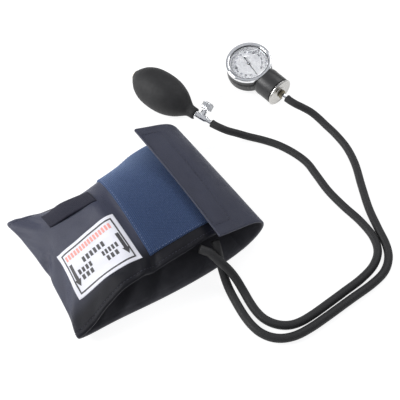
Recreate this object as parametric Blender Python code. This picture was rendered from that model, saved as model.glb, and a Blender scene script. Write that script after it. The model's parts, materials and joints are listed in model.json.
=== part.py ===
"""Aneroid blood pressure monitor for the upper arm: cuff, two hoses, hand bulb and gauge.

The cuff lies on a table as a flattened loop that an arm goes through along Y. Its strip starts
under the closing flap, runs left over the top, folds under, runs right along the table and folds
up again into the flap. The bulb and the gauge lie behind and to the right of it.

Everything below is in millimetres and degrees, and becomes metres when a mesh is made.
"""
import math

import bmesh
import bpy
from mathutils import Matrix, Vector

MM = 0.001
GAP = 0.3  # clearance kept between pieces that touch
TABLE_TO_ORIGIN = Vector((4.6, -44.9, 0.0))  # moves the layout so that its box is centred on the origin

# Cuff
SLEEVE_THICK = 4.0
FLAP_THICK = 2.4
PATCH_THICK = 1.2
LABEL_THICK = 0.4
HEM = 0.7

# Hoses and bulb
HOSE_D = 7.9
BULB_LENGTH = 82.2
BULB_WALL = 2.6
BULB_NECK_R = 6.1
VALVE_R = 3.8
KNOB_R = 5.3
KNOB_AXIS_Z = 7.2  # distance of the release valve from the bulb's mouth
THREAD_PITCH = 1.0

# Gauge
BEZEL_R = 25.0
PAN_R = 24.0
PAN_DEPTH = 27.0
PAN_FLOOR_Z = -PAN_DEPTH + 2.2
NECK_R = 15.2
NECK_BORE_R = 13.2
NECK_AXIS_Z = -13.0
NECK_END_Y = -43.6
CAP_R = 15.6
POINTER_Z = -5.4
SECTOR_Z = -12.6
CRANK_Z = -15.8
ZERO_ANGLE = -103.0  # direction of the pointer at no pressure, seen from the front
GEAR_RATIO = 8.0
PINION_TEETH = 10
TOOTH_MODULE = 0.378
SECTOR_PIVOT = Vector((-3.5, -16.65))
CRANK_REACH = 3.6
CRANK_REST_ANGLE = -20.2


# ---------------------------------------------------------------- scene and materials


def clear_scene():
    for old in list(bpy.data.objects):
        bpy.data.objects.remove(old, do_unlink=True)


def material(name, colour, roughness, metallic=0.0, transmission=0.0):
    made = bpy.data.materials.get(name)
    if made:
        return made
    made = bpy.data.materials.new(name)
    made.use_nodes = True
    shader = made.node_tree.nodes["Principled BSDF"]
    shader.inputs["Base Color"].default_value = (*colour, 1.0)
    shader.inputs["Roughness"].default_value = roughness
    shader.inputs["Metallic"].default_value = metallic
    shader.inputs["Transmission Weight"].default_value = transmission
    return made


def nylon():
    return material("navy_nylon", (0.045, 0.05, 0.085), 0.55)


def loop_pile():
    return material("blue_loop_pile", (0.035, 0.07, 0.19), 0.9)


def rubber():
    return material("black_rubber", (0.03, 0.03, 0.032), 0.6)


def enamel():
    return material("black_case_paint", (0.03, 0.03, 0.032), 0.5)


def chrome():
    return material("chrome", (0.85, 0.86, 0.88), 0.12, metallic=1.0)


def brass():
    return material("brass", (0.62, 0.5, 0.28), 0.3, metallic=1.0)


def steel():
    return material("steel", (0.6, 0.6, 0.62), 0.3, metallic=1.0)


def dial_white():
    return material("dial_white", (0.9, 0.92, 0.95), 0.4)


def label_white():
    return material("label_white", (0.88, 0.88, 0.9), 0.5)


def clear_plastic():
    return material("clear_plastic", (1.0, 1.0, 1.0), 0.05, transmission=0.95)


def pointer_paint():
    return material("pointer_paint", (0.12, 0.12, 0.13), 0.4)


# ---------------------------------------------------------------- frames of the assemblies


def turned(degrees, axis):
    return Matrix.Rotation(math.radians(degrees), 4, axis)


def placed(position, rotation):
    """A frame in metres at a table position given in millimetres."""
    return Matrix.Translation((Vector(position) + TABLE_TO_ORIGIN) * MM) @ rotation


CUFF_FRAME = placed((0.0, 0.0, 0.0), Matrix.Identity(4))

# The bulb's Z axis runs from its tail to its mouth and drops a little towards the mouth. The valve
# sits in the mouth, tilted a few degrees by the pull of its hose.
BULB_MOUTH = (51.6, 81.2, 18.7)


def nozzle_frame(heading, drop):
    return placed(BULB_MOUTH, turned(heading, "Z") @ turned(90.0 + drop, "Y") @ turned(90.0, "Z"))


BULB_FRAME = nozzle_frame(-74.0, 3.2)
VALVE_FRAME = nozzle_frame(-69.3, 4.4)
KNOB_LEAN = -56.0  # the release knob leans this far from upright, away from the cuff
KNOB_FRAME = (
    VALVE_FRAME
    @ Matrix.Translation((0.0, 0.0, KNOB_AXIS_Z * MM))
    @ turned(KNOB_LEAN, "Z")
    @ turned(-90.0, "X")
)

# The gauge's Z axis comes out of the dial and its neck runs along -Y.
GAUGE_FRAME = placed(
    (135.3, 101.2, 31.4),
    turned(7.6, "Z") @ turned(3.5, "X") @ turned(-13.8, "Y"),
)
NECK_FRAME = GAUGE_FRAME @ Matrix.Translation((0.0, 0.0, NECK_AXIS_Z * MM)) @ turned(90.0, "X")


# ---------------------------------------------------------------- mesh tools


def new_object(name, points, faces, paint, frame, smooth_angle=35.0):
    """Make one closed mesh from points in millimetres, with its origin at the frame."""
    mesh = bpy.data.meshes.new(name)
    mesh.from_pydata([Vector(p) * MM for p in points], [], faces)
    work = bmesh.new()
    work.from_mesh(mesh)
    bmesh.ops.recalc_face_normals(work, faces=work.faces)
    work.to_mesh(mesh)
    work.free()
    mesh.shade_smooth()
    mesh.set_sharp_from_angle(angle=math.radians(smooth_angle))
    made = bpy.data.objects.new(name, mesh)
    mesh.materials.append(paint)
    bpy.context.collection.objects.link(made)
    made.matrix_world = frame
    return made


def lathe(name, outline, paint, frame, segments=32):
    """Turn a closed outline of (radius, height) points about the frame's Z axis."""
    points = []
    rings = []
    for radius, height in outline:
        if radius == 0.0:
            rings.append([len(points)] * segments)
            points.append((0.0, 0.0, height))
            continue
        ring = []
        for step in range(segments):
            angle = 2.0 * math.pi * step / segments
            ring.append(len(points))
            points.append((radius * math.cos(angle), radius * math.sin(angle), height))
        rings.append(ring)
    faces = []
    for here, there in zip(rings, rings[1:] + rings[:1]):
        for step in range(segments):
            after = (step + 1) % segments
            corners = [here[step], here[after], there[after], there[step]]
            face = list(dict.fromkeys(corners))
            if len(face) > 2:
                faces.append(face)
    return new_object(name, points, faces, paint, frame)


def prism(name, outline, low, high, paint, frame):
    """Extrude a flat outline of (x, y) points from one height to another."""
    count = len(outline)
    points = [(x, y, low) for x, y in outline] + [(x, y, high) for x, y in outline]
    faces = [list(range(count)), list(range(count, 2 * count))]
    for step in range(count):
        after = (step + 1) % count
        faces.append([step, after, count + after, count + step])
    return new_object(name, points, faces, paint, frame)


def box(name, low, high, paint, frame):
    outline = [(low[0], low[1]), (high[0], low[1]), (high[0], high[1]), (low[0], high[1])]
    return prism(name, outline, low[2], high[2], paint, frame)


def disc_outline(radius, count, centre=(0.0, 0.0)):
    return [
        (
            centre[0] + radius * math.cos(2.0 * math.pi * step / count),
            centre[1] + radius * math.sin(2.0 * math.pi * step / count),
        )
        for step in range(count)
    ]


def combine(target, tool, operation):
    """Join a tool shape to the target or cut it away, and hide the tool."""
    tool.hide_render = True
    tool.display_type = "WIRE"
    change = target.modifiers.new(f"{operation.lower()}_{tool.name}", "BOOLEAN")
    change.operation = operation
    change.solver = "EXACT"
    change.object = tool


def arc(radius, start, end, count, centre=(0.0, 0.0)):
    """Points on an arc, in degrees."""
    angles = [math.radians(start + (end - start) * step / count) for step in range(count + 1)]
    return [
        (centre[0] + radius * math.cos(angle), centre[1] + radius * math.sin(angle))
        for angle in angles
    ]


def catmull_rom(knots, per_span):
    """A smooth curve through every knot."""
    knots = [Vector(knot) for knot in knots]
    ends = [2.0 * knots[0] - knots[1]] + knots + [2.0 * knots[-1] - knots[-2]]
    curve = []
    for a, b, c, d in zip(ends, ends[1:], ends[2:], ends[3:]):
        for step in range(per_span):
            t = step / per_span
            curve.append(
                0.5
                * (
                    2.0 * b
                    + (c - a) * t
                    + (2.0 * a - 5.0 * b + 4.0 * c - d) * t * t
                    + (3.0 * b - a - 3.0 * c + d) * t * t * t
                )
            )
    return curve + [knots[-1]]


# ---------------------------------------------------------------- cuff surface

# Each station is a line across the strip, in order from the start edge to the flap's edge.
# It holds x, then y, then z at four control points from the front edge to the back edge.
CUFF_STATIONS = (
    ((12, 12, 12, 12), (-57, -20, 25, 62), (25, 35, 40, 28)),  # start edge, under the flap
    ((-12, -12, -12, -12), (-58, -20, 34, 66), (32, 40, 46, 27)),
    ((-36, -35, -34, -34), (-60, -20, 42, 68), (39, 45, 55, 23)),
    ((-63, -62, -61, -60), (-62, -20, 50, 63), (41, 50, 64, 16)),  # under the loop patch
    ((-92, -90, -89, -89), (-62, -20, 53, 57), (40, 50, 68, 10)),
    ((-120, -117, -116, -116), (-61, -20, 50, 59), (45, 47, 58, 9)),  # under the label
    ((-145, -139, -138, -140), (-63, -20, 38, 68), (27, 33, 42, 11)),
    ((-162, -152, -151, -158), (-66, -18, 30, 77), (15, 22, 26, 10)),
    ((-175, -167, -163, -172), (-64, -17, 28, 80), (9, 13, 14, 7)),  # left fold
    ((-162, -154, -152, -160), (-63, -18, 28, 79), (2, 2, 2, 2)),
    ((-136, -134, -134, -136), (-64, -19, 27, 75), (2, 2, 2, 2)),
    ((-100, -100, -100, -100), (-69, -20, 26, 70), (2, 2, 2, 2)),  # lies on the table
    ((-65, -65, -65, -65), (-72, -20, 26, 68), (2, 2, 2, 2)),
    ((-30, -30, -30, -30), (-73, -21, 26, 69), (2, 2, 2, 2)),
    ((0, 0, 0, 0), (-71, -21, 27, 71), (2, 2, 2, 2)),
    ((20, 16, 15, 16), (-69, -21, 27, 72), (9, 7, 7, 6)),
    ((27, 23, 21, 23), (-68, -21, 26, 70), (21, 24, 24, 22)),  # right fold
    ((16, 16, 15, 16), (-67, -21, 26, 69), (30, 40, 42, 36)),  # the flap comes over the start edge
    ((3, 5, 5, 6), (-67, -21, 27, 68), (34, 48, 51, 46)),
    ((-12, -11, -11, -11), (-68, -21, 27, 68), (40, 51, 56, 53)),
    ((-27, -27, -28, -29), (-68, -21, 27, 69), (45, 53, 58, 60)),
    ((-42, -43, -45, -47), (-68, -21, 27, 70), (50, 55, 60, 67)),  # steers the flap's edge
)
SLEEVE_END = 16.1  # the strip is cut along the right fold, where the flap turns
FLAP_START = 16.18
FLAP_END = 20.0
STEPS_PER_STATION = 3
STEPS_ACROSS = 9


def bernstein(t):
    s = 1.0 - t
    return (s * s * s, 3.0 * s * s * t, 3.0 * s * t * t, t * t * t)


def b_spline(t):
    s = 1.0 - t
    return (
        s * s * s / 6.0,
        (3.0 * t * t * t - 6.0 * t * t + 4.0) / 6.0,
        (-3.0 * t * t * t + 3.0 * t * t + 3.0 * t + 1.0) / 6.0,
        t * t * t / 6.0,
    )


def cuff_point(along, across):
    """Middle surface of the strip: along counts stations, across runs from 0 in front to 1 behind."""
    last = len(CUFF_STATIONS) - 1
    span = min(max(int(math.floor(along)), 0), last - 1)
    weights_along = b_spline(along - span)
    weights_across = bernstein(across)
    point = Vector((0.0, 0.0, 0.0))
    for offset, weight_along in enumerate(weights_along):
        station = CUFF_STATIONS[min(max(span - 1 + offset, 0), last)]
        for row, weight_across in enumerate(weights_across):
            place = Vector((station[0][row], station[1][row], station[2][row]))
            point += weight_along * weight_across * place
    return point


def cuff_normal(along, across):
    """Unit vector out of the loop."""
    step = 0.01
    forward = cuff_point(along + step, across) - cuff_point(along - step, across)
    sideways = cuff_point(along, across + step) - cuff_point(along, across - step)
    return sideways.cross(forward).normalized()


def grid_values(start, end, per_unit):
    """The start, the end and every grid value between them, so that stacked pieces share facets."""
    first = math.floor(start * per_unit) + 1
    last = math.ceil(end * per_unit) - 1
    inner = [step / per_unit for step in range(first, last + 1)]
    near = 0.2 / per_unit
    return [start] + [value for value in inner if start + near < value < end - near] + [end]


def ribbon(name, along, across, heights, paint, bow=0.0, skew=0.0):
    """A slab of the strip between two heights above its middle surface.

    A bow lifts its middle, and a skew moves it back across the strip from station to station.
    """
    columns = grid_values(*along, STEPS_PER_STATION)
    rows = grid_values(*across, STEPS_ACROSS)
    width = len(rows)
    points = []
    for height in heights:
        for column in columns:
            share = (column - along[0]) / (along[1] - along[0])
            rise = height + bow * math.sin(math.pi * share) ** 2
            shift = skew * (column - along[0])
            for row in rows:
                place = cuff_point(column, row + shift)
                points.append(place + cuff_normal(column, row + shift) * rise)
    layer = len(columns) * width
    faces = []
    for i in range(len(columns) - 1):
        for j in range(width - 1):
            a = i * width + j
            faces.append([a, a + 1, a + width + 1, a + width])
            faces.append([layer + a, layer + a + width, layer + a + width + 1, layer + a + 1])
    rim = [i * width for i in range(len(columns))]
    rim += [(len(columns) - 1) * width + j for j in range(1, width)]
    rim += [i * width + width - 1 for i in range(len(columns) - 2, -1, -1)]
    rim += list(range(width - 2, 0, -1))
    for here, there in zip(rim, rim[1:] + rim[:1]):
        faces.append([here, there, layer + there, layer + here])
    return new_object(name, points, faces, paint, CUFF_FRAME)


# ---------------------------------------------------------------- cuff pieces

BLADDER_ALONG = (0.7, 5.2)
BLADDER_ACROSS = (0.07, 0.86)
# Each port: station along the strip, name, heading to the right of straight out, drop below level
BULB_PORT = (2.42, "bulb", 38.0, 10.0)
GAUGE_PORT = (1.62, "gauge", -15.0, 30.0)
PORT_REACH = 7.0
PORT_R = HOSE_D / 2.0 + 0.5


def make_sleeve():
    half = SLEEVE_THICK / 2.0
    sleeve = ribbon("cuff_sleeve", (0.0, SLEEVE_END), (0.0, 1.0), (-half, half), nylon())
    pocket_half = half - HEM
    along = (BLADDER_ALONG[0] - 0.04, BLADDER_ALONG[1] + 0.04)
    across = (BLADDER_ACROSS[0] - 0.01, BLADDER_ACROSS[1] + 0.01)
    pocket = ribbon("pocket_cutter", along, across, (-pocket_half, pocket_half), nylon())
    combine(sleeve, pocket, "DIFFERENCE")
    for station, label, _, _ in (BULB_PORT, GAUGE_PORT):
        slot = ribbon(
            f"{label}_slot_cutter",
            (station - 0.16, station + 0.16),
            (-0.03, BLADDER_ACROSS[0] + 0.05),
            (-pocket_half, pocket_half),
            nylon(),
        )
        combine(sleeve, slot, "DIFFERENCE")


def make_bladder():
    half = SLEEVE_THICK / 2.0 - HEM - GAP
    bladder = ribbon("air_bladder", BLADDER_ALONG, BLADDER_ACROSS, (-half, half), rubber())
    for station, label, _, _ in (BULB_PORT, GAUGE_PORT):
        tongue = ribbon(
            f"{label}_tongue",
            (station - 0.12, station + 0.12),
            (0.0, BLADDER_ACROSS[0] + 0.05),
            (-half, half),
            rubber(),
        )
        combine(bladder, tongue, "UNION")


def port_frame(port):
    """Frame of a hose port: its Z axis is the way that the hose leaves the cuff's front edge."""
    station, _, heading, drop = port
    rotation = turned(heading, "Z") @ turned(90.0 + drop, "X")
    clear_of_edge = rotation.to_3x3() @ Vector((0.0, 0.0, 3.0))
    return placed(cuff_point(station, 0.0) + Vector((0.0, -GAP, -2.4)) + clear_of_edge, rotation)


def make_ports():
    for port in (BULB_PORT, GAUGE_PORT):
        outline = [(0.0, 0.0), (PORT_R, 0.0), (PORT_R, PORT_REACH - 1.0), (PORT_R - 0.5, PORT_REACH)]
        outline.append((0.0, PORT_REACH))
        lathe(f"{port[1]}_port", outline, rubber(), port_frame(port), segments=16)


def make_loop_patch():
    low = SLEEVE_THICK / 2.0 + GAP
    ribbon("loop_patch", (1.6, 3.86), (0.10, 0.985), (low, low + PATCH_THICK), loop_pile())


def make_label():
    """Printed label, sewn on a few degrees out of square."""
    low = SLEEVE_THICK / 2.0 + 0.5
    heights = (low, low + LABEL_THICK)
    ribbon("instruction_label", (4.14, 6.7), (0.121, 0.448), heights, label_white(), skew=0.026)


def make_gauge_strap():
    """Webbing keeper that the gauge's hook slides on: flat at both ends, bowed between them."""
    low = SLEEVE_THICK / 2.0 + 0.5
    ribbon(
        "gauge_strap", (4.05, 6.08), (0.615, 0.755), (low, low + 1.4), nylon(), bow=4.0, skew=0.06
    )


def make_flap():
    half = FLAP_THICK / 2.0
    ribbon("cuff_flap", (FLAP_START, FLAP_END), (0.0, 1.0), (-half, half), nylon())
    top = -half - GAP
    ribbon("hook_patch", (18.7, 19.85), (0.08, 0.92), (top - PATCH_THICK, top), loop_pile())


# ---------------------------------------------------------------- hoses

# Centre lines in table millimetres, after the hose leaves its port.
HOSE_TO_BULB = (
    (-34.5, -82.5, 27.0),
    (-30.8, -89.5, 20.0),
    (-28.6, -97.5, 12.8),
    (-28.4, -108.0, 6.9),
    (-29.6, -119.0, 4.6),
    (-30.2, -130.0, 4.1),
    (-28.6, -139.9, 4.0),
    (-23.4, -149.1, 4.0),
    (-15.3, -155.9, 4.0),
    (-5.2, -159.3, 4.0),
    (8.0, -160.3, 4.0),
    (25.0, -160.0, 4.0),
    (46.0, -159.3, 4.0),
    (67.0, -158.4, 4.0),
    (86.0, -154.6, 4.0),
    (100.2, -145.6, 4.0),
    (107.8, -131.0, 4.0),
    (109.8, -111.0, 4.0),
    (108.3, -88.0, 4.0),
    (108.4, -66.0, 4.0),
    (111.6, -44.0, 4.0),
    (113.8, -27.0, 4.0),
    (111.0, -9.5, 4.0),
    (104.5, 8.0, 4.0),
    (95.6, 22.5, 4.0),
    (85.8, 33.2, 5.6),
    (76.8, 40.8, 9.4),
    (68.3, 46.9, 13.6),
    (63.2, 52.6, 16.1),
)
HOSE_TO_GAUGE = (
    (-31.8, -76.0, 21.0),
    (-33.8, -84.0, 12.6),
    (-36.0, -93.0, 7.0),
    (-38.0, -103.0, 4.6),
    (-40.0, -115.0, 4.0),
    (-41.4, -126.0, 4.0),
    (-41.6, -137.0, 4.0),
    (-39.6, -147.4, 4.0),
    (-34.4, -156.4, 4.0),
    (-26.4, -163.0, 4.0),
    (-15.6, -167.2, 4.0),
    (-1.0, -168.9, 4.0),
    (18.0, -169.0, 4.0),
    (46.0, -168.4, 4.0),
    (72.0, -168.0, 4.0),
    (90.0, -165.0, 4.0),
    (103.2, -156.8, 4.0),
    (111.6, -144.6, 4.0),
    (118.4, -126.0, 4.0),
    (126.9, -104.5, 4.0),
    (139.9, -79.8, 4.0),
    (152.5, -57.0, 4.0),
    (160.0, -36.0, 4.0),
    (162.6, -16.0, 4.0),
    (162.4, 0.0, 4.4),
    (161.2, 11.0, 6.2),
    (158.4, 20.0, 8.9),
    (153.4, 28.0, 12.0),
    (149.1, 34.4, 14.1),
)
VALVE_OUTLET_Z = 19.7
NIPPLE_TIP_Z = 56.4


def table_point(frame, height):
    """Where a height on a frame's Z axis lies, in table millimetres."""
    return (frame @ Vector((0.0, 0.0, height * MM))) / MM - TABLE_TO_ORIGIN


def make_hose(name, port, route, frame, end_height):
    """A tube from its port to the fitting whose axis is the frame's Z axis, square at both ends."""
    leave = port_frame(port)
    knots = [table_point(leave, PORT_REACH + GAP + 2.0)]
    knots += [Vector(point) for point in route]
    knots.append(table_point(frame, end_height + 5.0))
    track = [table_point(leave, PORT_REACH + GAP)]
    track += catmull_rom(knots, 2)
    track.append(table_point(frame, end_height + GAP))
    curve = bpy.data.curves.new(name, "CURVE")
    curve.dimensions = "3D"
    curve.bevel_depth = HOSE_D / 2.0 * MM
    curve.bevel_resolution = 2
    curve.use_fill_caps = True
    spline = curve.splines.new("POLY")
    spline.points.add(len(track) - 1)
    for vertex, point in zip(spline.points, track):
        vertex.co = (*((point + TABLE_TO_ORIGIN) * MM), 1.0)
    curve.materials.append(rubber())
    made = bpy.data.objects.new(name, curve)
    bpy.context.collection.objects.link(made)


# ---------------------------------------------------------------- bulb and valves


def make_bulb():
    """Hollow egg of rubber, open at its tail and at its mouth."""
    tail = -BULB_LENGTH
    outer_knots = (
        (6.2, tail),
        (10.5, tail + 3.8),
        (15.8, tail + 10.4),
        (20.0, tail + 20.9),
        (21.3, tail + 36.0),
        (19.7, tail + 49.3),
        (15.4, tail + 60.7),
        (9.9, tail + 69.2),
        (BULB_NECK_R, tail + 74.2),
        (BULB_NECK_R, 0.0),
    )
    inner_knots = [(r - BULB_WALL, z) for r, z in outer_knots[2:-2]]
    outer = [tuple(point) for point in catmull_rom([(r, z, 0) for r, z in outer_knots], 2)]
    inner = [tuple(point) for point in catmull_rom([(r, z, 0) for r, z in inner_knots], 2)]
    outline = [(r, z) for r, z, _ in outer] + [(4.8, 0.0), (4.8, -11.0)]
    outline += [(r, z) for r, z, _ in reversed(inner)] + [(5.0, tail + 9.0), (5.0, tail)]
    lathe("bulb", outline, rubber(), BULB_FRAME, segments=28)


def make_inlet_valve():
    """Ball valve in the tail that lets room air into the bulb."""
    tail = -BULB_LENGTH
    outline = [
        (3.4, tail - 0.6),
        (5.9, tail - 0.6),
        (5.9, tail - GAP),
        (4.7, tail - GAP),
        (4.7, tail + 12.0),
        (1.2, tail + 12.0),
        (1.2, tail + 10.8),
        (3.0, tail + 10.8),
        (3.0, tail + 5.2),
        (1.3, tail + 3.4),
        (1.3, tail + 2.0),
        (3.4, tail + 2.0),
    ]
    lathe("inlet_valve_body", outline, brass(), BULB_FRAME, segments=16)
    ball_centre = tail + 5.8
    ball = [(r, z + ball_centre) for z, r in arc(2.3, 180.0, 0.0, 8)]
    ball[0] = (0.0, ball_centre - 2.3)
    ball[-1] = (0.0, ball_centre + 2.3)
    lathe("inlet_check_ball", ball, steel(), BULB_FRAME, segments=12)
    gauze = prism(
        "inlet_filter_gauze", disc_outline(3.1, 16), tail + 0.6, tail + 1.1, steel(), BULB_FRAME
    )
    for step in range(6):
        hole = prism(
            f"gauze_cutter_{step}",
            disc_outline(0.55, 6, disc_outline(1.8, 6)[step]),
            tail,
            tail + 2.0,
            steel(),
            BULB_FRAME,
        )
        combine(gauze, hole, "DIFFERENCE")


def make_release_valve():
    """Chrome body between bulb and hose, with the outlet check disc and the screw-down needle."""
    outline = [
        (1.2, -9.5),
        (3.4, -9.5),
        (3.9, -7.5),
        (3.4, -5.5),
        (3.9, -3.5),
        (3.4, -1.5),
        (3.4, GAP),
        (4.4, GAP),
        (4.4, 1.3),
        (VALVE_R, 1.8),
        (VALVE_R, 13.6),
        (VALVE_R - 0.6, 14.2),
        (3.0, 14.2),
        (3.0, 15.2),
        (2.4, 15.6),
        (2.4, 19.1),
        (2.1, VALVE_OUTLET_Z),
        (1.1, VALVE_OUTLET_Z),
        (1.1, -2.6),
        (2.7, -2.6),
        (2.7, -6.2),
        (1.2, -6.2),
    ]
    body = lathe("release_valve_body", outline, chrome(), VALVE_FRAME, segments=20)
    boss = lathe(
        "valve_boss",
        [(0.0, 1.6), (3.2, 1.6), (3.2, 7.4), (2.9, 7.8), (0.0, 7.8)],
        chrome(),
        KNOB_FRAME,
        segments=16,
    )
    combine(body, boss, "UNION")
    bore = lathe(
        "screw_bore_cutter",
        [(0.0, 0.4), (0.9, 0.4), (2.1, 2.6), (2.1, 6.2), (2.6, 6.2), (2.6, 9.0), (0.0, 9.0)],
        chrome(),
        KNOB_FRAME,
        segments=16,
    )
    combine(body, bore, "DIFFERENCE")
    bleed = prism(
        "bleed_hole_cutter",
        disc_outline(0.45, 8, (0.0, 4.6)),
        1.0,
        5.0,
        chrome(),
        KNOB_FRAME @ turned(-90.0, "X") @ turned(90.0, "Z") @ turned(90.0, "X"),
    )
    combine(body, bleed, "DIFFERENCE")
    lathe(
        "outlet_check_disc",
        [(0.0, -5.9), (2.3, -5.9), (2.3, -4.7), (0.0, -4.7)],
        rubber(),
        VALVE_FRAME,
        segments=14,
    )
    lathe(
        "valve_needle",
        [(0.0, 1.5), (0.45, 1.75), (1.5, 3.1), (1.5, 3.7), (0.0, 3.7)],
        steel(),
        KNOB_FRAME,
        segments=12,
    )
    lathe(
        "screw_seal_ring",
        [(r + 2.2, z + 6.85) for r, z in arc(0.32, 0.0, 300.0, 5)],
        rubber(),
        KNOB_FRAME,
        segments=14,
    )


def make_release_screw():
    """Screw stem with rolled thread crests, and the knurled knob on its outer end."""
    outline = [(0.0, 4.0), (1.5, 4.0)]
    crest = 4.4
    while crest + 0.75 * THREAD_PITCH < 6.4:
        outline += [(1.55, crest), (1.8, crest + 0.25), (1.8, crest + 0.45), (1.55, crest + 0.7)]
        crest += THREAD_PITCH
    outline += [(1.55, 6.4), (1.55, 12.0), (0.0, 12.0)]
    lathe("release_screw", outline, steel(), KNOB_FRAME, segments=12)
    teeth = 20
    knurl = []
    for step in range(teeth):
        for part, radius in ((0.0, KNOB_R - 0.35), (0.3, KNOB_R), (0.7, KNOB_R)):
            angle = 2.0 * math.pi * (step + part) / teeth
            knurl.append((radius * math.cos(angle), radius * math.sin(angle)))
    knob = prism("release_knob", knurl, 9.0, 15.4, chrome(), KNOB_FRAME)
    rim = lathe(
        "knob_top",
        [(0.0, 15.0), (KNOB_R - 0.8, 15.0), (KNOB_R - 0.8, 15.8), (KNOB_R - 1.4, 16.2), (0.0, 16.2)],
        chrome(),
        KNOB_FRAME,
        segments=24,
    )
    combine(knob, rim, "UNION")
    socket = lathe(
        "knob_socket_cutter",
        [(0.0, 8.6), (1.55 + GAP, 8.6), (1.55 + GAP, 12.0 + GAP), (0.0, 12.0 + GAP)],
        chrome(),
        KNOB_FRAME,
        segments=12,
    )
    combine(knob, socket, "DIFFERENCE")


# ---------------------------------------------------------------- gauge housing


def make_gauge_case():
    """Round pan with the wide neck that houses the pressure capsule."""
    back = -PAN_DEPTH
    edge = 7.0
    rim = -4.6
    outline = [(0.0, rim), (PAN_R, rim)]
    outline += [(r, z) for r, z in arc(edge, 0.0, -90.0, 6, (PAN_R - edge, back + edge))]
    outline += [(0.0, back)]
    case = lathe("gauge_case", outline, enamel(), GAUGE_FRAME, segments=36)
    neck = lathe(
        "neck_solid",
        [(0.0, 12.0), (NECK_R - 1.6, 12.0), (NECK_R - 1.6, 22.0), (NECK_R, 27.0)]
        + [(NECK_R, -NECK_END_Y), (0.0, -NECK_END_Y)],
        enamel(),
        NECK_FRAME,
        segments=28,
    )
    combine(case, neck, "UNION")
    clear_of_bezel = lathe(
        "bezel_room_cutter",
        [(0.0, -8.6), (BEZEL_R + 0.5, -8.6), (BEZEL_R + 0.5, 6.0), (0.0, 6.0)],
        enamel(),
        GAUGE_FRAME,
        segments=36,
    )
    crown = lathe(
        "pan_crown",
        [(0.0, -12.0), (PAN_R, -12.0), (PAN_R, rim), (0.0, rim)],
        enamel(),
        GAUGE_FRAME,
        segments=36,
    )
    combine(case, clear_of_bezel, "DIFFERENCE")
    combine(case, crown, "UNION")
    hollow = lathe(
        "pan_hollow_cutter",
        [(0.0, PAN_FLOOR_Z), (17.0, PAN_FLOOR_Z), (21.8, back + 7.0), (21.8, 2.0), (0.0, 2.0)],
        enamel(),
        GAUGE_FRAME,
        segments=36,
    )
    combine(case, hollow, "DIFFERENCE")
    bore = lathe(
        "neck_bore_cutter",
        [(0.0, 14.0), (11.0, 14.0), (11.0, 24.0), (NECK_BORE_R, 28.0)]
        + [(NECK_BORE_R, 50.0), (0.0, 50.0)],
        enamel(),
        NECK_FRAME,
        segments=28,
    )
    combine(case, bore, "DIFFERENCE")


def make_bezel_and_lens():
    inside = PAN_R + GAP
    outline = [
        (21.0, -1.4),
        (21.0, -0.7),
        (21.8, -0.15),
        (23.0, 0.0),
        (24.2, -0.35),
        (BEZEL_R, -1.4),
        (BEZEL_R, -7.4),
        (24.8, -8.0),
        (inside, -8.0),
        (inside, -3.4),
        (23.4, -1.4),
    ]
    lathe("bezel", outline, chrome(), GAUGE_FRAME, segments=40)
    lens = [(0.0, -2.7), (23.0, -2.7), (23.0, -1.7), (20.6, -1.7)]
    lens += [(14.0, -1.1), (7.0, -0.8), (0.0, -0.7)]
    lathe("lens", lens, clear_plastic(), GAUGE_FRAME, segments=32)
    gasket = [(21.2, -4.3), (23.4, -4.3), (23.4, -3.0), (21.2, -3.0)]
    lathe("lens_gasket", gasket, rubber(), GAUGE_FRAME, segments=32)


DIAL_SCREWS = ((13.2, 6.0), (-13.2, 6.0))


def make_dial():
    dial = lathe(
        "dial_plate",
        [(1.6, -7.4), (21.4, -7.4), (21.4, -6.8), (1.6, -6.8)],
        dial_white(),
        GAUGE_FRAME,
        segments=32,
    )
    for number, centre in enumerate(DIAL_SCREWS, start=1):
        hole = prism(
            f"dial_hole_cutter_{number}", disc_outline(0.9, 10, centre), -8.0, -6.0, steel(), GAUGE_FRAME
        )
        combine(dial, hole, "DIFFERENCE")
        lathe(
            f"dial_screw_{number}",
            [(0.0, -9.2), (0.6, -9.2), (0.6, -6.5), (1.5, -6.5), (1.3, -6.0), (0.0, -5.9)],
            steel(),
            GAUGE_FRAME @ Matrix.Translation((centre[0] * MM, centre[1] * MM, 0.0)),
            segments=14,
        )


def make_end_cap():
    """Screwed chrome cap with its gasket, square nut and hose nipple, on the neck's axis."""
    start = -NECK_END_Y
    lathe(
        "cap_gasket",
        [(NECK_BORE_R, start + 0.3), (NECK_R - 0.3, start + 0.3)]
        + [(NECK_R - 0.3, start + 1.0), (NECK_BORE_R, start + 1.0)],
        rubber(),
        NECK_FRAME,
        segments=24,
    )
    face = start + 3.6
    lathe(
        "end_cap",
        [
            (2.4, start + 1.3),
            (CAP_R - 0.4, start + 1.3),
            (CAP_R, start + 1.7),
            (CAP_R, face - 0.6),
            (CAP_R - 0.7, face),
            (13.4, face + 0.15),
            (12.8, face - 0.4),
            (8.4, face - 0.4),
            (7.6, face + 0.3),
            (2.4, face + 0.6),
        ],
        chrome(),
        NECK_FRAME,
        segments=32,
    )
    nut_low = face + 0.9
    nut = box("cap_nut", (-3.6, -3.6, nut_low), (3.6, 3.6, nut_low + 3.2), brass(), NECK_FRAME)
    hole = prism(
        "nut_hole_cutter", disc_outline(2.4, 14), nut_low - 1.0, nut_low + 5.0, brass(), NECK_FRAME
    )
    combine(nut, hole, "DIFFERENCE")
    lathe(
        "hose_nipple",
        [
            (0.9, start - 1.6),
            (3.4, start - 1.6),
            (3.4, start + 0.4),
            (2.1, start + 0.4),
            (2.1, nut_low + 3.8),
            (2.8, nut_low + 4.4),
            (2.3, nut_low + 5.8),
            (2.2, NIPPLE_TIP_Z),
            (0.9, NIPPLE_TIP_Z),
        ],
        chrome(),
        NECK_FRAME,
        segments=14,
    )


HOOK_STAND_OFF = 3.2


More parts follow.
